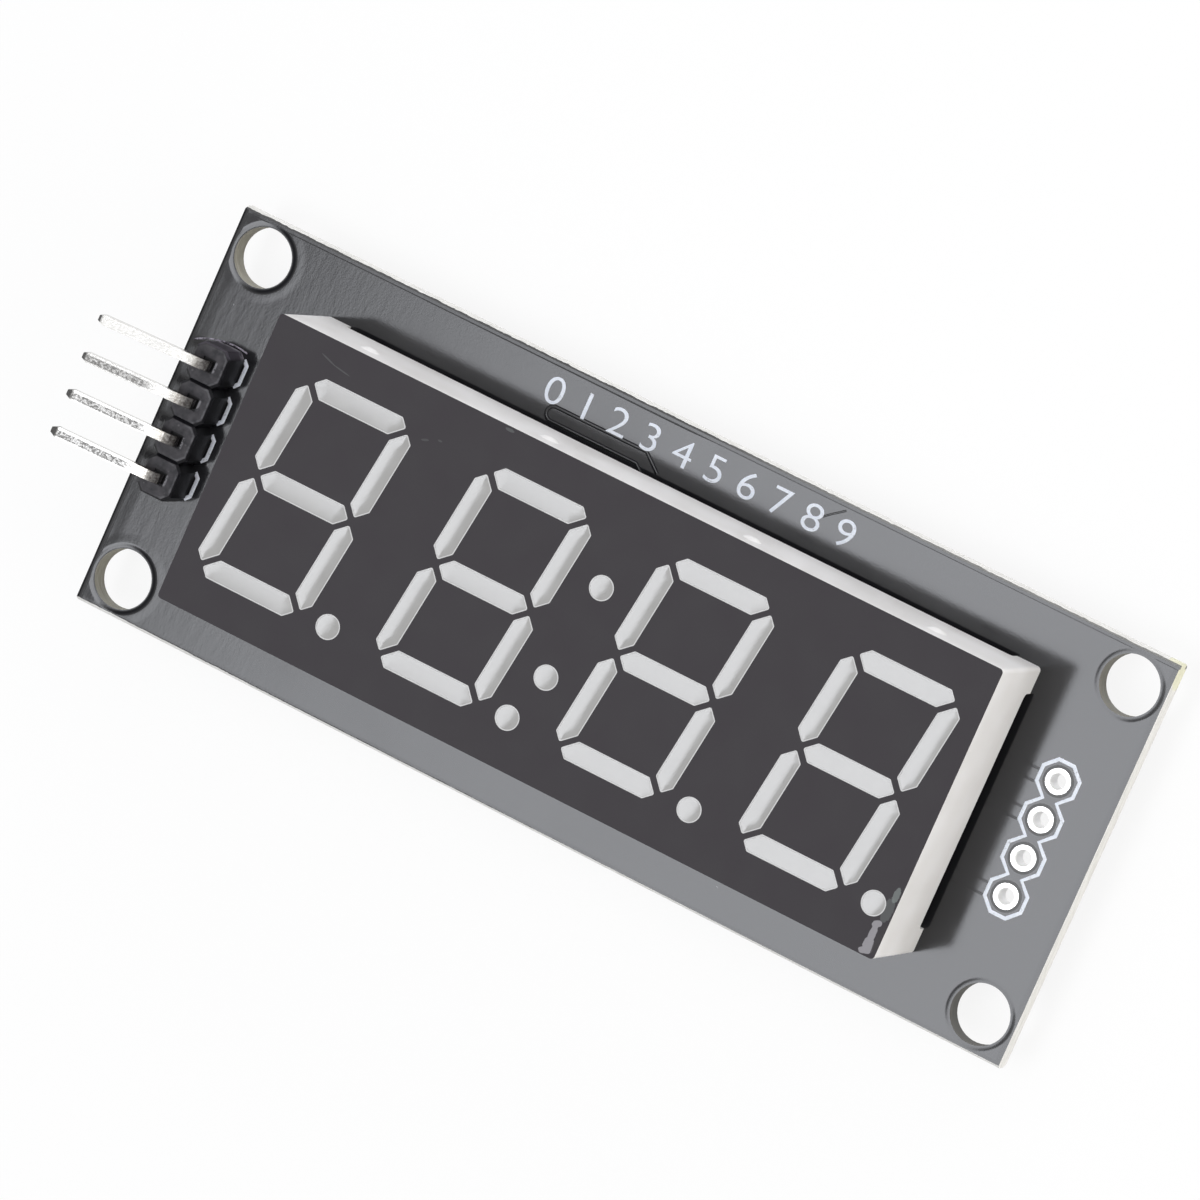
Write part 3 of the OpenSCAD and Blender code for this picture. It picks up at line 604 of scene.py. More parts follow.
def metal(name, light, dark, rough_low, rough_high, stretch, scale, depth):
    """Tinned or soldered metal with streaks along it, dull where the streaks are dark."""
    material, place = new_material(name, Metallic=1.0)
    streaks = streaks_of(place, stretch, scale)
    colour = blend_colour(streaks["Mask"], dark, light)
    rough = between(streaks["Mask"], rough_high, rough_low)
    return finish_material(material, colour, rough, streaks["Height"], depth)


def pin_wear(x, y, z, across, streaks, fine):
    """Share of the tin that is scratched dull, in lines along the middle of the pins' upper sides."""
    along = distance(plus(across, 0.03))
    reach = minus(x, ramp(y, -1.0, 1.0, 0.75, 0.0))
    band = times(ramp(along, 0.31, 0.15), ramp(reach, *PIN_BAND), ramp(z, 4.3, 4.6))
    both = plus(streaks, times(fine, 0.5), ramp(y, 2.4, 2.7, 0.17, 0.04),
                ramp(x, -34.2, -32.6, 0.0, -0.06))
    lines = times(ramp(distance(along, 0.18), 0.1, 0.04), ramp(fine, 0.42, 0.5, 0.6, 1.0))
    patchy = ramp(fine, 0.46, 0.56, 0.55, 0.95)
    return times(band, larger(lines, patchy), ramp(both, 0.5, 0.64), ramp(y, 2.4, 2.7, 1.0, 0.25))


def pin_tin():
    """Tinned pin: scratched dull along the middle of its sides, dark where it was cut off, with a
    painted reflection and painted shade at its bend and painted shade along its sides.
    """
    material, place = new_material("bright_pin_tin", IOR=1.6)
    x, y, z = axes(place)
    across = off_centre(y, PITCH / MM)
    streaks = streaks_of(place, (0.8, 4.5, 4.5), 2.6)
    fine = grain_of(place, 6.5, 0.5, 0.2)["Height"]
    worn = pin_wear(x, y, z, across, streaks["Height"], fine)
    cut = ramp(minus(x, PIN_END / MM), *PIN_CUT)
    # Painted reflection and shade at the bend: tan, darkening to painted shade at the header
    bent = minus(x, ramp(y, -3.8, 3.8, -0.45, 0.35))
    bend = times(ramp(bent, *PIN_BEND), ramp(fine, 0.4, 0.6, 0.75, 1.0))
    # Painted shade along the sides of each pin
    corner = times(ramp(distance(across), 0.27, 0.3), 0.35)
    bend_shade = blend_colour(ramp(x, *PIN_SHADE), (0.40, 0.375, 0.335), (0.10, 0.09, 0.085))
    colour = layers((0.84, 0.83, 0.80),
                    (streaks["Mask"], (0.90, 0.89, 0.87)),
                    (corner, (0.42, 0.41, 0.40)),
                    (bend, bend_shade),
                    (worn, (0.17, 0.165, 0.16)),
                    (cut, (0.05, 0.048, 0.046)))
    bright = minus(1.0, larger(times(worn, 0.9), times(cut, 0.8)))
    return finish_material(material, colour, between(bright, 0.5, 0.17), streaks["Height"],
                           0.012, Metallic=bright)


def lead_tin():
    return metal("dull_lead_tin", (0.80, 0.80, 0.79), (0.62, 0.61, 0.60),
                 0.3, 0.45, (2.0, 0.6, 2.0), 3.0, 0.006)


def pad_tin():
    return metal("levelled_pad_tin", PAD_LIGHT, PAD_DARK, 0.22, 0.4, EVEN, 2.2, 0.008)


def open_pad_tin():
    """Levelled tin of the empty pads, bright on their rims; in their holes an even, dull near-white that
    is painted light.
    """
    material, place = new_material("open_pad_tin")
    x, y, _ = axes(place)
    away = length_of(minus(x, ROW_X["chain"] / MM), off_centre(y, PITCH / MM))
    # Painted light: the holes are painted an even, dull near-white
    painted_light_bore = ramp(away, PAD_BORE / MM + 0.07, PAD_BORE / MM + 0.02)
    streaks = streaks_of(place, EVEN, 2.2)
    colour = layers(PAD_DARK, (streaks["Mask"], PAD_LIGHT), (painted_light_bore, (0.93, 0.93, 0.93)))
    rough = between(painted_light_bore, between(streaks["Mask"], 0.4, 0.22), 0.6)
    height = times(streaks["Height"], minus(1.0, painted_light_bore))
    return finish_material(material, colour, rough, height, 0.008, Metallic=between(painted_light_bore, 1.0, 0.2))


def end_tin():
    return metal("plated_end_caps", (0.84, 0.83, 0.81), (0.66, 0.65, 0.63), 0.32, 0.5, EVEN, 7.0, 0.01)


def solder():
    """Bright solder with a film of flux here and there."""
    material, place = new_material("bright_solder")
    streaks = streaks_of(place, (1.0, 1.0, 0.4), 1.8)
    film = ramp(grain_of(place, 4.0, 1.3, 0.8)["Cloud"], 0.62, 0.95)
    colour = layers((0.70, 0.70, 0.70), (streaks["Mask"], (0.84, 0.84, 0.83)),
                    (film, (0.62, 0.54, 0.38)))
    return finish_material(material, colour, between(streaks["Mask"], 0.3, 0.14),
                           streaks["Height"], 0.02, Metallic=between(film, 1.0, 0.55))


def black_plastic(name, low, high, rough, fine, depth):
    """Dark moulded plastic with its grain, its flow clouds and a little dust."""
    return grained(name, 1.55, (fine, 0.7, 0.35), low, high, rough, depth,
                   (2.2, 0.05, 0.25), 0.5, (0.3, 0.29, 0.27))


def header_edge_highlight(z, across, along, grain):
    """1 on the rims where the top meets its chamfers, painted pale as a highlight, strongest on the side
    of the display.
    """
    half_x, half_y, cut = HEADER_OUTLINE
    a = distance(across)
    slanted = times(minus(half_x + half_y - cut, plus(a, along)), math.sqrt(0.5))
    inside = smaller(slanted, minus(half_x, a), minus(half_y, along))
    return times(ramp(distance(inside, 0.06), 0.09, 0.03),
                 ramp(z, HEADER_TOP / MM - 0.12, HEADER_TOP / MM - 0.06),
                 ramp(across, 0.1, 0.6, 0.05, 0.6), ramp(grain["Height"], 0.36, 0.6))


def header_plastic():
    """Glossy black moulding: a duller top with crumbs, painted highlights on its rims and beside each
    pin, and an outer end painted lighter as a painted reflection, dusty at its foot.
    """
    material, place = new_material("header_black_plastic", IOR=1.29)
    x, y, z = axes(place)
    grain = grain_of(place, 4.0, 2.0, 0.45)
    across = minus(x, ROW_X["header"] / MM)
    along = distance(off_centre(y, PITCH / MM))
    on_top = ramp(z, HEADER_TOP / MM - 0.03, HEADER_TOP / MM - 0.01)
    top = blend_colour(grain["Cloud"], (0.008, 0.007, 0.010), (0.046, 0.042, 0.047))
    crumbs = times(specks_of(place, 3.2, 0.11, 0.3), on_top, 0.5)
    # A light patch on the top beside each pin's root: painted highlight
    dab = times(ramp(distance(across, 0.46), 0.15, 0.08), ramp(along, 0.4, 0.28), on_top,
                ramp(grain["Height"], 0.4, 0.5))

    # The end away from the display's middle is painted lighter as a painted reflection of the board, and
    # is dusty, most of all at its foot
    end = times(ramp(y, 4.6, 4.8), minus(1.0, on_top))
    foot = times(ramp(z, 2.3, 1.7), ramp(grain["Height"], 0.42, 0.56))
    end_reflection_and_dust = blend_colour(foot, (0.05, 0.045, 0.056), (0.36, 0.34, 0.38))
    colour = layers((0.004, 0.004, 0.0055),
                    (grain["Cloud"], (0.008, 0.008, 0.01)),
                    (on_top, top),
                    (header_edge_highlight(z, across, along, grain), (0.13, 0.13, 0.14)),
                    (crumbs, (0.2, 0.19, 0.2)),
                    (dab, (0.2, 0.195, 0.21)),
                    (end, end_reflection_and_dust))
    rough = between(larger(on_top, end), 0.4, 0.33)
    return finish_material(material, colour, rough, grain["Height"], 0.012)


def chip_plastic():
    return black_plastic("chip_moulding", (0.021, 0.021, 0.023), (0.03, 0.03, 0.032),
                         (0.5, 0.62), 14.0, 0.012)


def resistor_glaze():
    return black_plastic("resistor_glaze", (0.012, 0.012, 0.014), (0.02, 0.02, 0.022),
                         (0.12, 0.2), 6.0, 0.006)


def capacitor_ceramic():
    """Fired ceramic: tan with small lighter and darker grains."""
    return grained("fired_ceramic", 1.6, (12.0, 2.0, 0.5), (0.33, 0.22, 0.125),
                   (0.46, 0.33, 0.205), (0.42, 0.58), 0.008,
                   (9.0, 0.04, 0.4), 1.0, (0.62, 0.5, 0.36))


def led_laminate():
    """Bare glass-fibre laminate with the weave of its cloth."""
    material, place = new_material("bare_laminate", IOR=1.5)
    across, along = (streaks_of(place, stretch, 2.0)["Height"]
                     for stretch in ((0.4, 3.0, 1.0), (3.0, 0.4, 1.0)))
    weave = times(plus(across, along), 0.5)
    colour = blend_colour(ramp(weave, 0.4, 0.6), (0.27, 0.21, 0.10), (0.42, 0.35, 0.2))
    return finish_material(material, colour, ramp(weave, 0.4, 0.6, 0.5, 0.65), weave, 0.01)


def led_crystal():
    """Semiconductor crystal with a slight colour change over it."""
    return grained("led_crystal", 2.4, (30.0, 5.0, 0.6), (0.62, 0.52, 0.22),
                   (0.78, 0.69, 0.38), (0.18, 0.3), 0.002)


def painted_shade_coat():
    """Thin dull black strip of painted shade beside a copper edge."""
    return grained("painted_shade_strip", 1.25, (5.0, 1.0, 0.4), (0.005, 0.005, 0.006),
                   (0.012, 0.012, 0.014), (0.45, 0.6), 0.006)


def dried_flux():
    """Thin crust of dried flux, greyish lilac and full of gaps."""
    material, place = new_material("dried_flux", IOR=1.4)
    grain = grain_of(place, 6.0, 2.0, 0.4)
    colour = blend_colour(ramp(grain["Height"], 0.45, 0.55), (0.04, 0.036, 0.046), (0.42, 0.39, 0.46))
    rough = between(grain["Cloud"], 0.4, 0.6)
    return finish_material(material, colour, rough, grain["Height"], 0.01)


def white_print(name, low, high):
    """Screen-printed white ink, thin where the mesh of the screen left it so."""
    material, place = new_material(name, IOR=1.45)
    grain = grain_of(place, 7.0, 1.6, 0.45)
    thin = times(ramp(grain["Height"], 0.58, 0.66), 0.6)
    colour = layers(low, (grain["Cloud"], high), (thin, (0.3, 0.32, 0.36)))
    rough = between(grain["Cloud"], 0.5, 0.65)
    return finish_material(material, colour, rough, grain["Height"], 0.006)


# ================================================================ geometry helpers
def new_object(name, bm, material):
    """An object of a finished bmesh, in the scene."""
    mesh = bpy.data.meshes.new(name)
    bm.to_mesh(mesh)
    bm.free()
    mesh.materials.append(material)
    made = bpy.data.objects.new(name, mesh)
    bpy.context.scene.collection.objects.link(made)
    return made


def finish_piece(name, bm, material, smooth=False):
    """A piece from a finished bmesh, on the only body."""
    piece = new_object(name, bm, material)
    if smooth:
        piece.data.shade_smooth()
    else:
        piece.data.shade_flat()
    piece.data.set_sharp_from_angle(angle=SHARP_ANGLE)
    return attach(piece, "root")


def mesh_of(curve, dist):
    """A bmesh of a curve or text, with its doubles merged."""
    drawn = bpy.data.objects.new(curve.name + "_curve", curve)
    bpy.context.scene.collection.objects.link(drawn)
    shape = bpy.data.meshes.new_from_object(
        drawn.evaluated_get(bpy.context.evaluated_depsgraph_get()))
    bpy.data.objects.remove(drawn)
    bm = bmesh.new()
    bm.from_mesh(shape)
    bmesh.ops.remove_doubles(bm, verts=bm.verts, dist=dist)
    return bm


def inner_distance(point, walls):
    """Distance from a point in a window to the nearest of its walls."""
    return min((point.xy - start).dot(inward) for start, inward in walls)


def ink_windows():
    """A bmesh of flat faces at the print's upper side, one in each window of the print."""
    bm = bmesh.new()
    bm.from_mesh(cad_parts["face_ink"].data)
    bmesh.ops.remove_doubles(bm, verts=bm.verts, dist=1e-7)
    low = [f for f in bm.faces if min(v.co.z for v in f.verts) < FACE_HIGH.z - 1e-6]
    bmesh.ops.delete(bm, geom=low, context="FACES")
    printed = set(bm.faces)
    bmesh.ops.holes_fill(bm, edges=[e for e in bm.edges if e.is_boundary], sides=0)
    other = [f for f in bm.faces if f in printed
             or max(v.co.x for v in f.verts) - min(v.co.x for v in f.verts) > WINDOW_MOST]
    bmesh.ops.delete(bm, geom=other, context="FACES")
    bmesh.ops.recalc_face_normals(bm, faces=bm.faces)
    for f in bm.faces:
        if f.normal.z < 0:
            f.normal_flip()
    return bm


def walls_of(face):
    """The walls round a face: a point on each and its direction into the face."""
    found = []
    for loop in face.loops:
        start, end = loop.vert.co.xy, loop.link_loop_next.vert.co.xy
        along = (end - start).normalized()
        found.append((start.copy(), Vector((-along.y, along.x))))
    return found


def dish(bm, walls, top):
    """Adds the resin in one window: a thin closed solid whose upper side is hollow."""
    xs = [start.x for start, _ in walls]
    ys = [start.y for start, _ in walls]
    middle = Vector(((min(xs) + max(xs)) / 2, (min(ys) + max(ys)) / 2, top))
    reach = Vector((max(xs) - min(xs), max(ys) - min(ys), 0)) / 2
    deep = DISH_DEPTH * (FLAT_SHARE if reach.x > 1.5 * reach.y else 1)
    part = bmesh.new()
    bmesh.ops.create_grid(part, size=1,
                          x_segments=max(2, round(2 * reach.x / DISH_CELL)),
                          y_segments=max(2, round(2 * reach.y / DISH_CELL)))
    bmesh.ops.scale(part, vec=(reach.x, reach.y, 1), verts=part.verts)
    bmesh.ops.translate(part, vec=middle, verts=part.verts)
    for start, inward in walls:
        bmesh.ops.bisect_plane(
            part, geom=part.verts[:] + part.edges[:] + part.faces[:], dist=1e-8,
            plane_co=start.to_3d(), plane_no=-inward.to_3d(), clear_outer=True)
    for v in part.verts:
        share = min(max(inner_distance(v.co, walls) / DISH_REACH, 0), 1)
        lower = DISH_DROP * (max(xs) - v.co.x) / (max(xs) - min(xs))
        v.co.z = top - deep * (1 - (1 - share) ** 2) - lower
    made = bmesh.ops.extrude_face_region(part, geom=part.faces[:])["geom"]
    for v in (v for v in made if isinstance(v, bmesh.types.BMVert)):
        v.co.z = top - RIM_LOW
    bmesh.ops.recalc_face_normals(part, faces=part.faces)
    mesh = bpy.data.meshes.new("part")
    part.to_mesh(mesh)
    part.free()
    bm.from_mesh(mesh)
    bpy.data.meshes.remove(mesh)


def resin_and_rims(resin, plastic):
    """The white lip round every window, and the dished resin inside it."""
    bm = ink_windows()
    top = FACE_HIGH.z - FACE_BACK
    windows = bm.faces[:]
    rings = bmesh.ops.inset_individual(bm, faces=windows, thickness=RIM_WIDTH,
                                       use_even_offset=True)["faces"]
    groups = {}
    for face in windows:
        middle = face.calc_center_median()
        digit = min(4, max(1, int((middle.x - FACE_LOW.x) / (FACE_HIGH.x - FACE_LOW.x) * 4) + 1))
        colon = len(face.verts) > ROUND_CORNERS and abs(middle.x) < COLON_AT
        groups.setdefault("colon" if colon else "digit_%d" % digit, []).append(walls_of(face))
    bmesh.ops.delete(bm, geom=windows, context="FACES_ONLY")
    bmesh.ops.translate(bm, vec=(0, 0, -FACE_BACK), verts=bm.verts)
    made = bmesh.ops.extrude_face_region(bm, geom=rings)["geom"]
    low = [v for v in made if isinstance(v, bmesh.types.BMVert)]
    bmesh.ops.translate(bm, vec=(0, 0, -RIM_LOW), verts=low)
    bmesh.ops.recalc_face_normals(bm, faces=bm.faces)
    finish_piece("window_rims", bm, plastic)
    for name, windows in sorted(groups.items()):
        part = bmesh.new()
        for walls in windows:
            dish(part, walls, top)
        finish_piece("resin_" + name, part, resin, smooth=True)


def ridges(name, lines, width, height, level, material, closed=False):
    """Flat-oval ridges along lines of (x, y) points in metres, half sunk into a face at a level."""
    curve = bpy.data.curves.new(name, "CURVE")
    curve.dimensions = "3D"
    curve.bevel_depth = width / 2
    curve.bevel_resolution = 2
    curve.use_fill_caps = True
    for line in lines:
        spline = curve.splines.new("POLY")
        spline.points.add(len(line) - 1)
        for point, (x, y) in zip(spline.points, line):
            point.co = (x, y, 0, 1)
        spline.use_cyclic_u = closed
    bm = mesh_of(curve, 1e-8)
    bmesh.ops.scale(bm, vec=(1, 1, 2 * height / width), verts=bm.verts)
    bmesh.ops.translate(bm, vec=(0, 0, level), verts=bm.verts)
    bmesh.ops.recalc_face_normals(bm, faces=bm.faces)
    return finish_piece(name, bm, material, smooth=True)


def row_side(reach, neck):
    """The right-hand line beside a row of four pads, from its upper end to its lower one."""
    flat = reach * math.tan(math.pi / 8)
    line = []
    for y in ROW:
        upper = (flat, reach) if y == ROW[0] else (neck, PITCH / 2)
        lower = (flat, -reach) if y == ROW[-1] else (neck, -PITCH / 2)
        unit = [upper, (reach, flat), (reach, -flat), lower]
        line += [(a, y + b) for a, b in (unit if y == ROW[0] else unit[1:])]
    return line


def row_outline(row):
    """The closed outline round a row of pads, four octagons with narrow necks between them."""
    right = row_side(OCTAGON, NECK)
    return [(ROW_X[row] + a, b) for a, b in right + [(-a, b) for a, b in reversed(right)]]


def board_print(material, lit_print):
    """White outlines round both rows of pads, and a row of plain numerals. The header's outline uses a
    brighter copy of the print, painted light where the header shades it.
    """
    ridges("chain_outline", [row_outline("chain")], PRINT_LINE, PRINT_THICK, BOARD_TOP, material,
           closed=True)
    flat = HEADER_OCTAGON * math.tan(math.pi / 8)
    half = [(HEADER_OCTAGON, flat), (HEADER_OCTAGON - HEADER_SLANT, flat + HEADER_SLANT)]
    stroke = [half[1], half[0]] + [(a, -b) for a, b in half]
    ridges("header_outline", [[(ROW_X["header"] + a, y + b) for a, b in stroke] for y in ROW],
           HEADER_LINE, PRINT_THICK, BOARD_TOP, lit_print)
    numerals("board_numerals", NUMERALS, NUMERALS_PLACE, NUMERALS_TALL, NUMERALS_LONG, material)


def numerals(name, figures, place, tall, wide, material):
    """A printed row of plain figures, centred in x, with its foot at the place."""
    written = bpy.data.curves.new(name, "FONT")
    written.body = figures
    written.extrude = 0.5
    written.offset = NUMERALS_THINNER
    bm = mesh_of(written, 1e-5)
    low = Vector([min(v.co[k] for v in bm.verts) for k in range(3)])
    high = Vector([max(v.co[k] for v in bm.verts) for k in range(3)])
    size = high - low
    bmesh.ops.translate(bm, vec=(-(low.x + high.x) / 2, -low.y, 0), verts=bm.verts)
    bmesh.ops.scale(bm, vec=(wide / size.x, tall / size.y, 2 * PRINT_THICK / size.z), verts=bm.verts)
    bmesh.ops.translate(bm, vec=place, verts=bm.verts)
    return finish_piece(name, bm, material)


def arc_line(x, y, radius, first, last, steps):
    """Points on an arc round a place, from one angle to another."""
    turns = [first + (last - first) * k / steps for k in range(steps + 1)]
    return [(x + radius * math.cos(a), y + radius * math.sin(a)) for a in turns]


def circle_line(x, y, radius, count):
    """Points round a circle."""
    return arc_line(x, y, radius, 0, 2 * math.pi, count)[:-1]


def in_metres(*lines):
    """Lines of points in mm, made lines of points in metres."""
    return [[(a * MM, b * MM) for a, b in line] for line in lines]


def upper_traces(material, shade):
    """Thin ridges where the mask goes over the edges of the wide traces beside the display, and a dull
    black strip of painted shade along the wide trace's outline.
    """
    (x0, y0), (x1, y1), (x2, y2) = TRACE_WAY
    turn = TRACE_HALF * math.tan(math.atan2(y1 - y2, x2 - x1) / 2)
    slant = Vector((y1 - y2, x2 - x1)).normalized() * TRACE_HALF
    end = arc_line(x0, y0, TRACE_HALF, math.pi / 2, 3 * math.pi / 2, 12)
    outline = ([(x2 + slant.x, y2 + slant.y), (x1 + turn, y1 + TRACE_HALF)] + end
               + [(x1 - turn, y1 - TRACE_HALF), (x2 - slant.x, y2 - slant.y)])
    outline, short_edge = in_metres(outline, SHORT_EDGE)
    # A dull black strip along the trace's outline: painted shade
    ridges("trace_shade", [outline], TRACE_SHADE, RELIEF_HIGH / 4, BOARD_TOP, shade)
    lines = [outline, short_edge]
    ends = (CHAIN_TRACE_FROM, ROW_X["chain"] - OCTAGON - CHAIN_TRACE_GAP)
    for y in CHAIN_TRACES:
        lines += [[(x, y * MM + side) for x in ends] for side in (-CHAIN_TRACE_W / 2, CHAIN_TRACE_W / 2)]
    ridges("trace_edges", lines, RELIEF_WIDE, RELIEF_HIGH, BOARD_TOP, material)


def flux_line(material):
    """Thin arc of dried flux on the board at the header's upper end."""
    arc = arc_line(*FLUX_ARC, *(math.radians(a) for a in FLUX_ENDS), 16)
    ridges("header_flux_line", in_metres(arc), FLUX_WIDE, FLUX_HIGH, BOARD_TOP, material)


def lower_traces(material):
    """Routed traces and tented vias on the underside, as raised lines under the mask."""
    ways = []
    for i in range(6):  # from the chip's leads to the display's pins
        lead, pad = (i - 2.5) * LEAD_PITCH, (i - 2.5) * PITCH / MM
        ways.append([(lead, 5.4), (lead, 5.9), (pad, 6.1 + 0.12 * i), (pad, 7.0)])
    ways += UNDER_WAYS
    lines = [[(x, y * side) for x, y in way] for side in (-1, 1) for way in ways]
    ridges("underside_traces", in_metres(*lines), UNDER_TRACE_W, UNDER_TRACE_H, BOARD_UNDER, material)
    vias = [circle_line(a * MM, b * MM, VIA_RADIUS, 16) for a, b in VIAS]
    ridges("underside_vias", vias, VIA_RADIUS, UNDER_TRACE_H, BOARD_UNDER, material,
           closed=True)


def box_line(x, y, wide, tall):
    """Corners of a rectangle round a place, in mm."""
    return [(x + a * wide / 2, y + b * tall / 2) for a, b in ((1, 1), (-1, 1), (-1, -1), (1, -1))]


def lower_print(material):
    """White outlines on the underside: both pad rows, the chip and the small parts."""
    boxes = [box_line(x, y, SMALL_PART_WIDE, tall) for x, y, tall in SMALL_PARTS]
    lines = in_metres(box_line(*CHIP_OUTLINE), *boxes, circle_line(*CHIP_MARK, 20))
    ridges("underside_outlines", [row_outline("chain"), row_outline("header")] + lines,
           UNDER_PRINT_LINE, PRINT_THICK, BOARD_UNDER, material, closed=True)


# ================================================================ stage
def stage_material(name):
    """A material without a shader yet, and its tree."""
    material = bpy.data.materials.new(name)
    material.use_nodes = True
    material.node_tree.nodes.clear()
    return material, material.node_tree


def softbox_material(name, glow, tint, soft, late):
    """Light of a softbox: its edges rise steeply over one share of its sides, then slowly."""
    material, tree = stage_material(name)
    across = axes(node(tree, "ShaderNodeUVMap").outputs[0])
    share = minus(1.0, node(tree, "ShaderNodeNewGeometry").outputs["Backfacing"])
    for k in range(2):
        for edge, way in ((0.0, 1), (1.0, -1)):
            steep = ramp(across[k], edge, edge + way * soft[k], 0.0, KEY_EARLY)
            slow = ramp(across[k], edge + way * soft[k], edge + way * late[k], 0.0, 1 - KEY_EARLY)
            share = times(share, plus(steep, slow))
    light = node_after("ShaderNodeEmission", {"Strength": times(share, glow), "Color": paint(*tint)})
    node_after("ShaderNodeOutputMaterial", {"Surface": light.outputs[0]})
    return material


def softbox(name, middle, size, aim, glow, tint, soft, late):
    """A lit panel of a size, facing a point, that the camera itself doesn't see."""
    bm = bmesh.new()
    bmesh.ops.create_grid(bm, x_segments=1, y_segments=1, size=0.5)
    layer = bm.loops.layers.uv.verify()
    for face in bm.faces:
        for loop in face.loops:
            loop[layer].uv = (loop.vert.co.x + 0.5, loop.vert.co.y + 0.5)
    panel = new_object(name, bm, softbox_material(name + "_light", glow, tint, soft, late))
    panel.scale = (size[0], size[1], 1)
    panel.location = middle
    panel.rotation_euler = (Vector(aim) - Vector(middle)).to_track_quat("Z", "Y").to_euler()
    panel.visible_camera = False
    panel.visible_shadow = False
    return panel


def key_light():
    """Softbox over the object, level, so that its sides are at the given slopes."""
    x0, x1 = (KEY_HEIGHT * s for s in KEY_REACH_X)
    y0, y1 = (KEY_HEIGHT * s for s in KEY_REACH_Y)
    middle = Vector(((x0 + x1) / 2, (y0 + y1) / 2, KEY_HEIGHT))
    sides = (KEY_REACH_X[1] - KEY_REACH_X[0], KEY_REACH_Y[1] - KEY_REACH_Y[0])
    panel = softbox("key_softbox", middle, (x1 - x0, y1 - y0), middle - Vector((0, 0, 1)), KEY_GLOW,
                    KEY_TINT, [KEY_SOFT / side for side in sides], [KEY_LATE / side for side in sides])
    panel.rotation_euler = Euler((math.pi, 0, math.radians(KEY_TURN)))


def fill_lights():
    """Two wide, weak panels beside the object, on the sides that the camera sees."""
    for name, (way, glow, tint) in SIDE_LIGHTS.items():
        middle = (way[0] * SIDE_AWAY, way[1] * SIDE_AWAY, SIDE_HEIGHT)
        panel = softbox(name, middle, (SIDE_SIZE, SIDE_SIZE / 2), SIDE_AIM, glow, tint, *SIDE_EDGES)
        panel.visible_glossy = False


def under_lights():
    """Two panels below: one that only the gloss of the underside shows, one that only lights it."""
    softbox("under_card", *UNDER_CARD).visible_diffuse = False
    softbox("under_softbox", *UNDER_LIGHT).visible_glossy = False


def seen_directly(tree):
    """1 for camera, glossy and transmission rays."""
    path = node(tree, "ShaderNodeLightPath").outputs
    return larger(*(path["Is %s Ray" % kind] for kind in ("Camera", "Glossy", "Transmission")))


def surroundings():
    """White all round for the camera and for reflections, and a plain tent light otherwise."""
    world = bpy.data.worlds.new("white_tent")
    bpy.context.scene.world = world
    world.use_nodes = True
    strength = between(seen_directly(world.node_tree), TENT_LIGHT, 1.0)
    fill(world.node_tree.nodes["Background"], {"Color": grey(1.0), "Strength": strength})


def floor():
    """A pale floor that looks white and keeps a soft shadow; from below it is open."""
    bm = bmesh.new()
    bmesh.ops.create_grid(bm, x_segments=1, y_segments=1, size=FLOOR_SIZE / 2)
    bmesh.ops.translate(bm, vec=(0, 0, cad_box[0].z), verts=bm.verts)
    material, tree = stage_material("pale_floor")
    plain = node(tree, "ShaderNodeBsdfDiffuse", {"Color": grey(FLOOR_PAINT)})
    shade = node(tree, "ShaderNodeBsdfDiffuse", {"Color": grey(FLOOR_SHADE)})
    glow = node(tree, "ShaderNodeEmission", {"Strength": 1.0 - FLOOR_SHADE})
    shown = node_after("ShaderNodeAddShader", {0: shade.outputs[0], 1: glow.outputs[0]})
    top = node_after("ShaderNodeMixShader", {0: seen_directly(tree), 1: plain.outputs[0],
                                             2: shown.outputs[0]})
    back = node(tree, "ShaderNodeNewGeometry").outputs["Backfacing"]
    near = under(node(tree, "ShaderNodeLightPath").outputs["Ray Length"], FLOOR_NEAR)
    clear = node(tree, "ShaderNodeBsdfTransparent")
    both = node_after("ShaderNodeMixShader", {0: larger(back, near), 1: top.outputs[0],
                                              2: clear.outputs[0]})
    node_after("ShaderNodeOutputMaterial", {"Surface": both.outputs[0]})
    new_object("floor", bm, material)


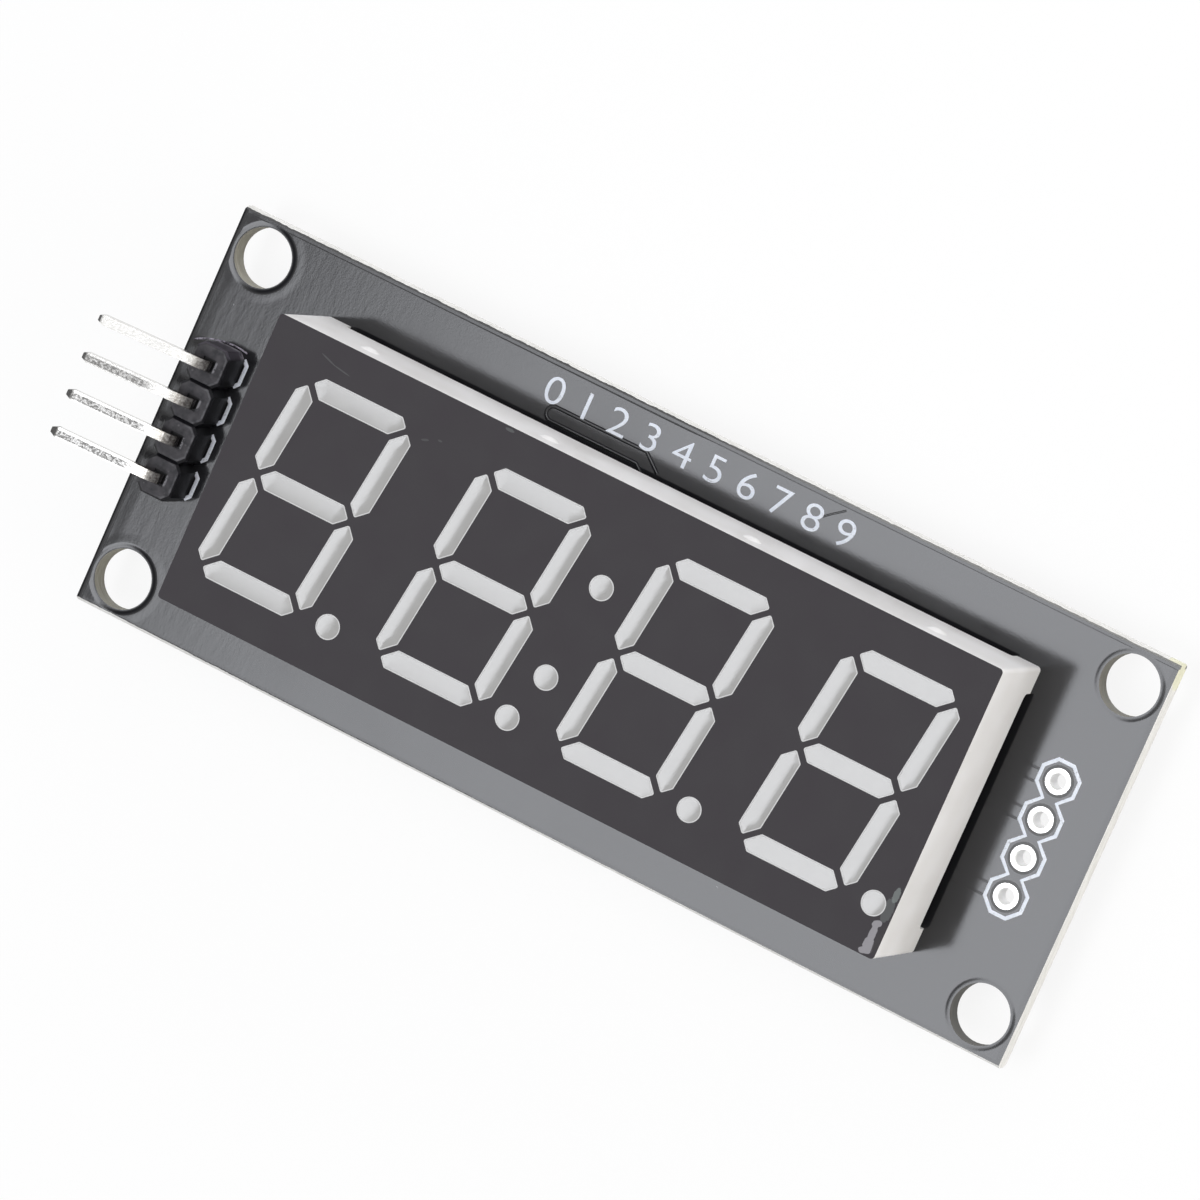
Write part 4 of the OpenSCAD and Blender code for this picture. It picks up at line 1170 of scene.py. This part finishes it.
def camera():
    lens = bpy.data.cameras.new("camera")
    lens.sensor_width = CAMERA_SENSOR
    lens.lens = CAMERA_LENS
    lens.clip_start = 0.01
    lens.clip_end = 20
    eye = bpy.data.objects.new("camera", lens)
    eye.location = CAMERA_PLACE
    eye.rotation_euler = Euler([math.radians(a) for a in CAMERA_TURN])
    bpy.context.scene.collection.objects.link(eye)
    bpy.context.scene.camera = eye


# ================================================================ the scene
MASK = solder_mask()
RESIN = milky_resin()
THIN_RIM = white_plastic("white_rim_plastic", (0.56, 0.56, 0.555), (0.62, 0.62, 0.62))
PRINT = white_print("white_board_print", (0.74, 0.79, 0.88), (0.84, 0.88, 0.95))
# A brighter copy of the white print for the header's outline, which the header shades: painted light
LIT_PRINT = white_print("painted_light_board_print", (0.84, 0.87, 0.96), (0.90, 0.92, 0.98))
FINISHES = (
    (MASK, "circuit_board"),
    (white_plastic("moulded_white_plastic", (0.86, 0.85, 0.845), (0.895, 0.89, 0.895)),
     "display_housing"),
    (face_print(), "face_ink"),
    (RESIN, "potting_resin"),
    (led_laminate(), "led_board"),
    (led_crystal(), "led_dies"),
    (open_pad_tin(), "chain_pads"),
    (pad_tin(), "header_pads", "display_pads"),
    (header_plastic(), "header_body"),
    (pin_tin(), "header_pin_1", "header_pin_2", "header_pin_3", "header_pin_4", "display_pins"),
    (solder(), "header_solder", "display_solder", "driver_solder", "chip_solder"),
    (chip_plastic(), "driver_body"),
    (lead_tin(), "driver_leads"),
    (resistor_glaze(), "resistor_bodies"),
    (capacitor_ceramic(), "capacitor_bodies"),
    (end_tin(), "resistor_ends", "capacitor_ends"),
)
for material, *names in FINISHES:
    for name in names:
        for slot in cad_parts[name].material_slots:
            slot.material = material

resin_and_rims(RESIN, THIN_RIM)
board_print(PRINT, LIT_PRINT)
upper_traces(MASK, painted_shade_coat())
flux_line(dried_flux())
lower_traces(MASK)
lower_print(PRINT)

camera()
key_light()
fill_lights()
under_lights()
surroundings()
floor()
bpy.context.scene.view_settings.view_transform = "Standard"
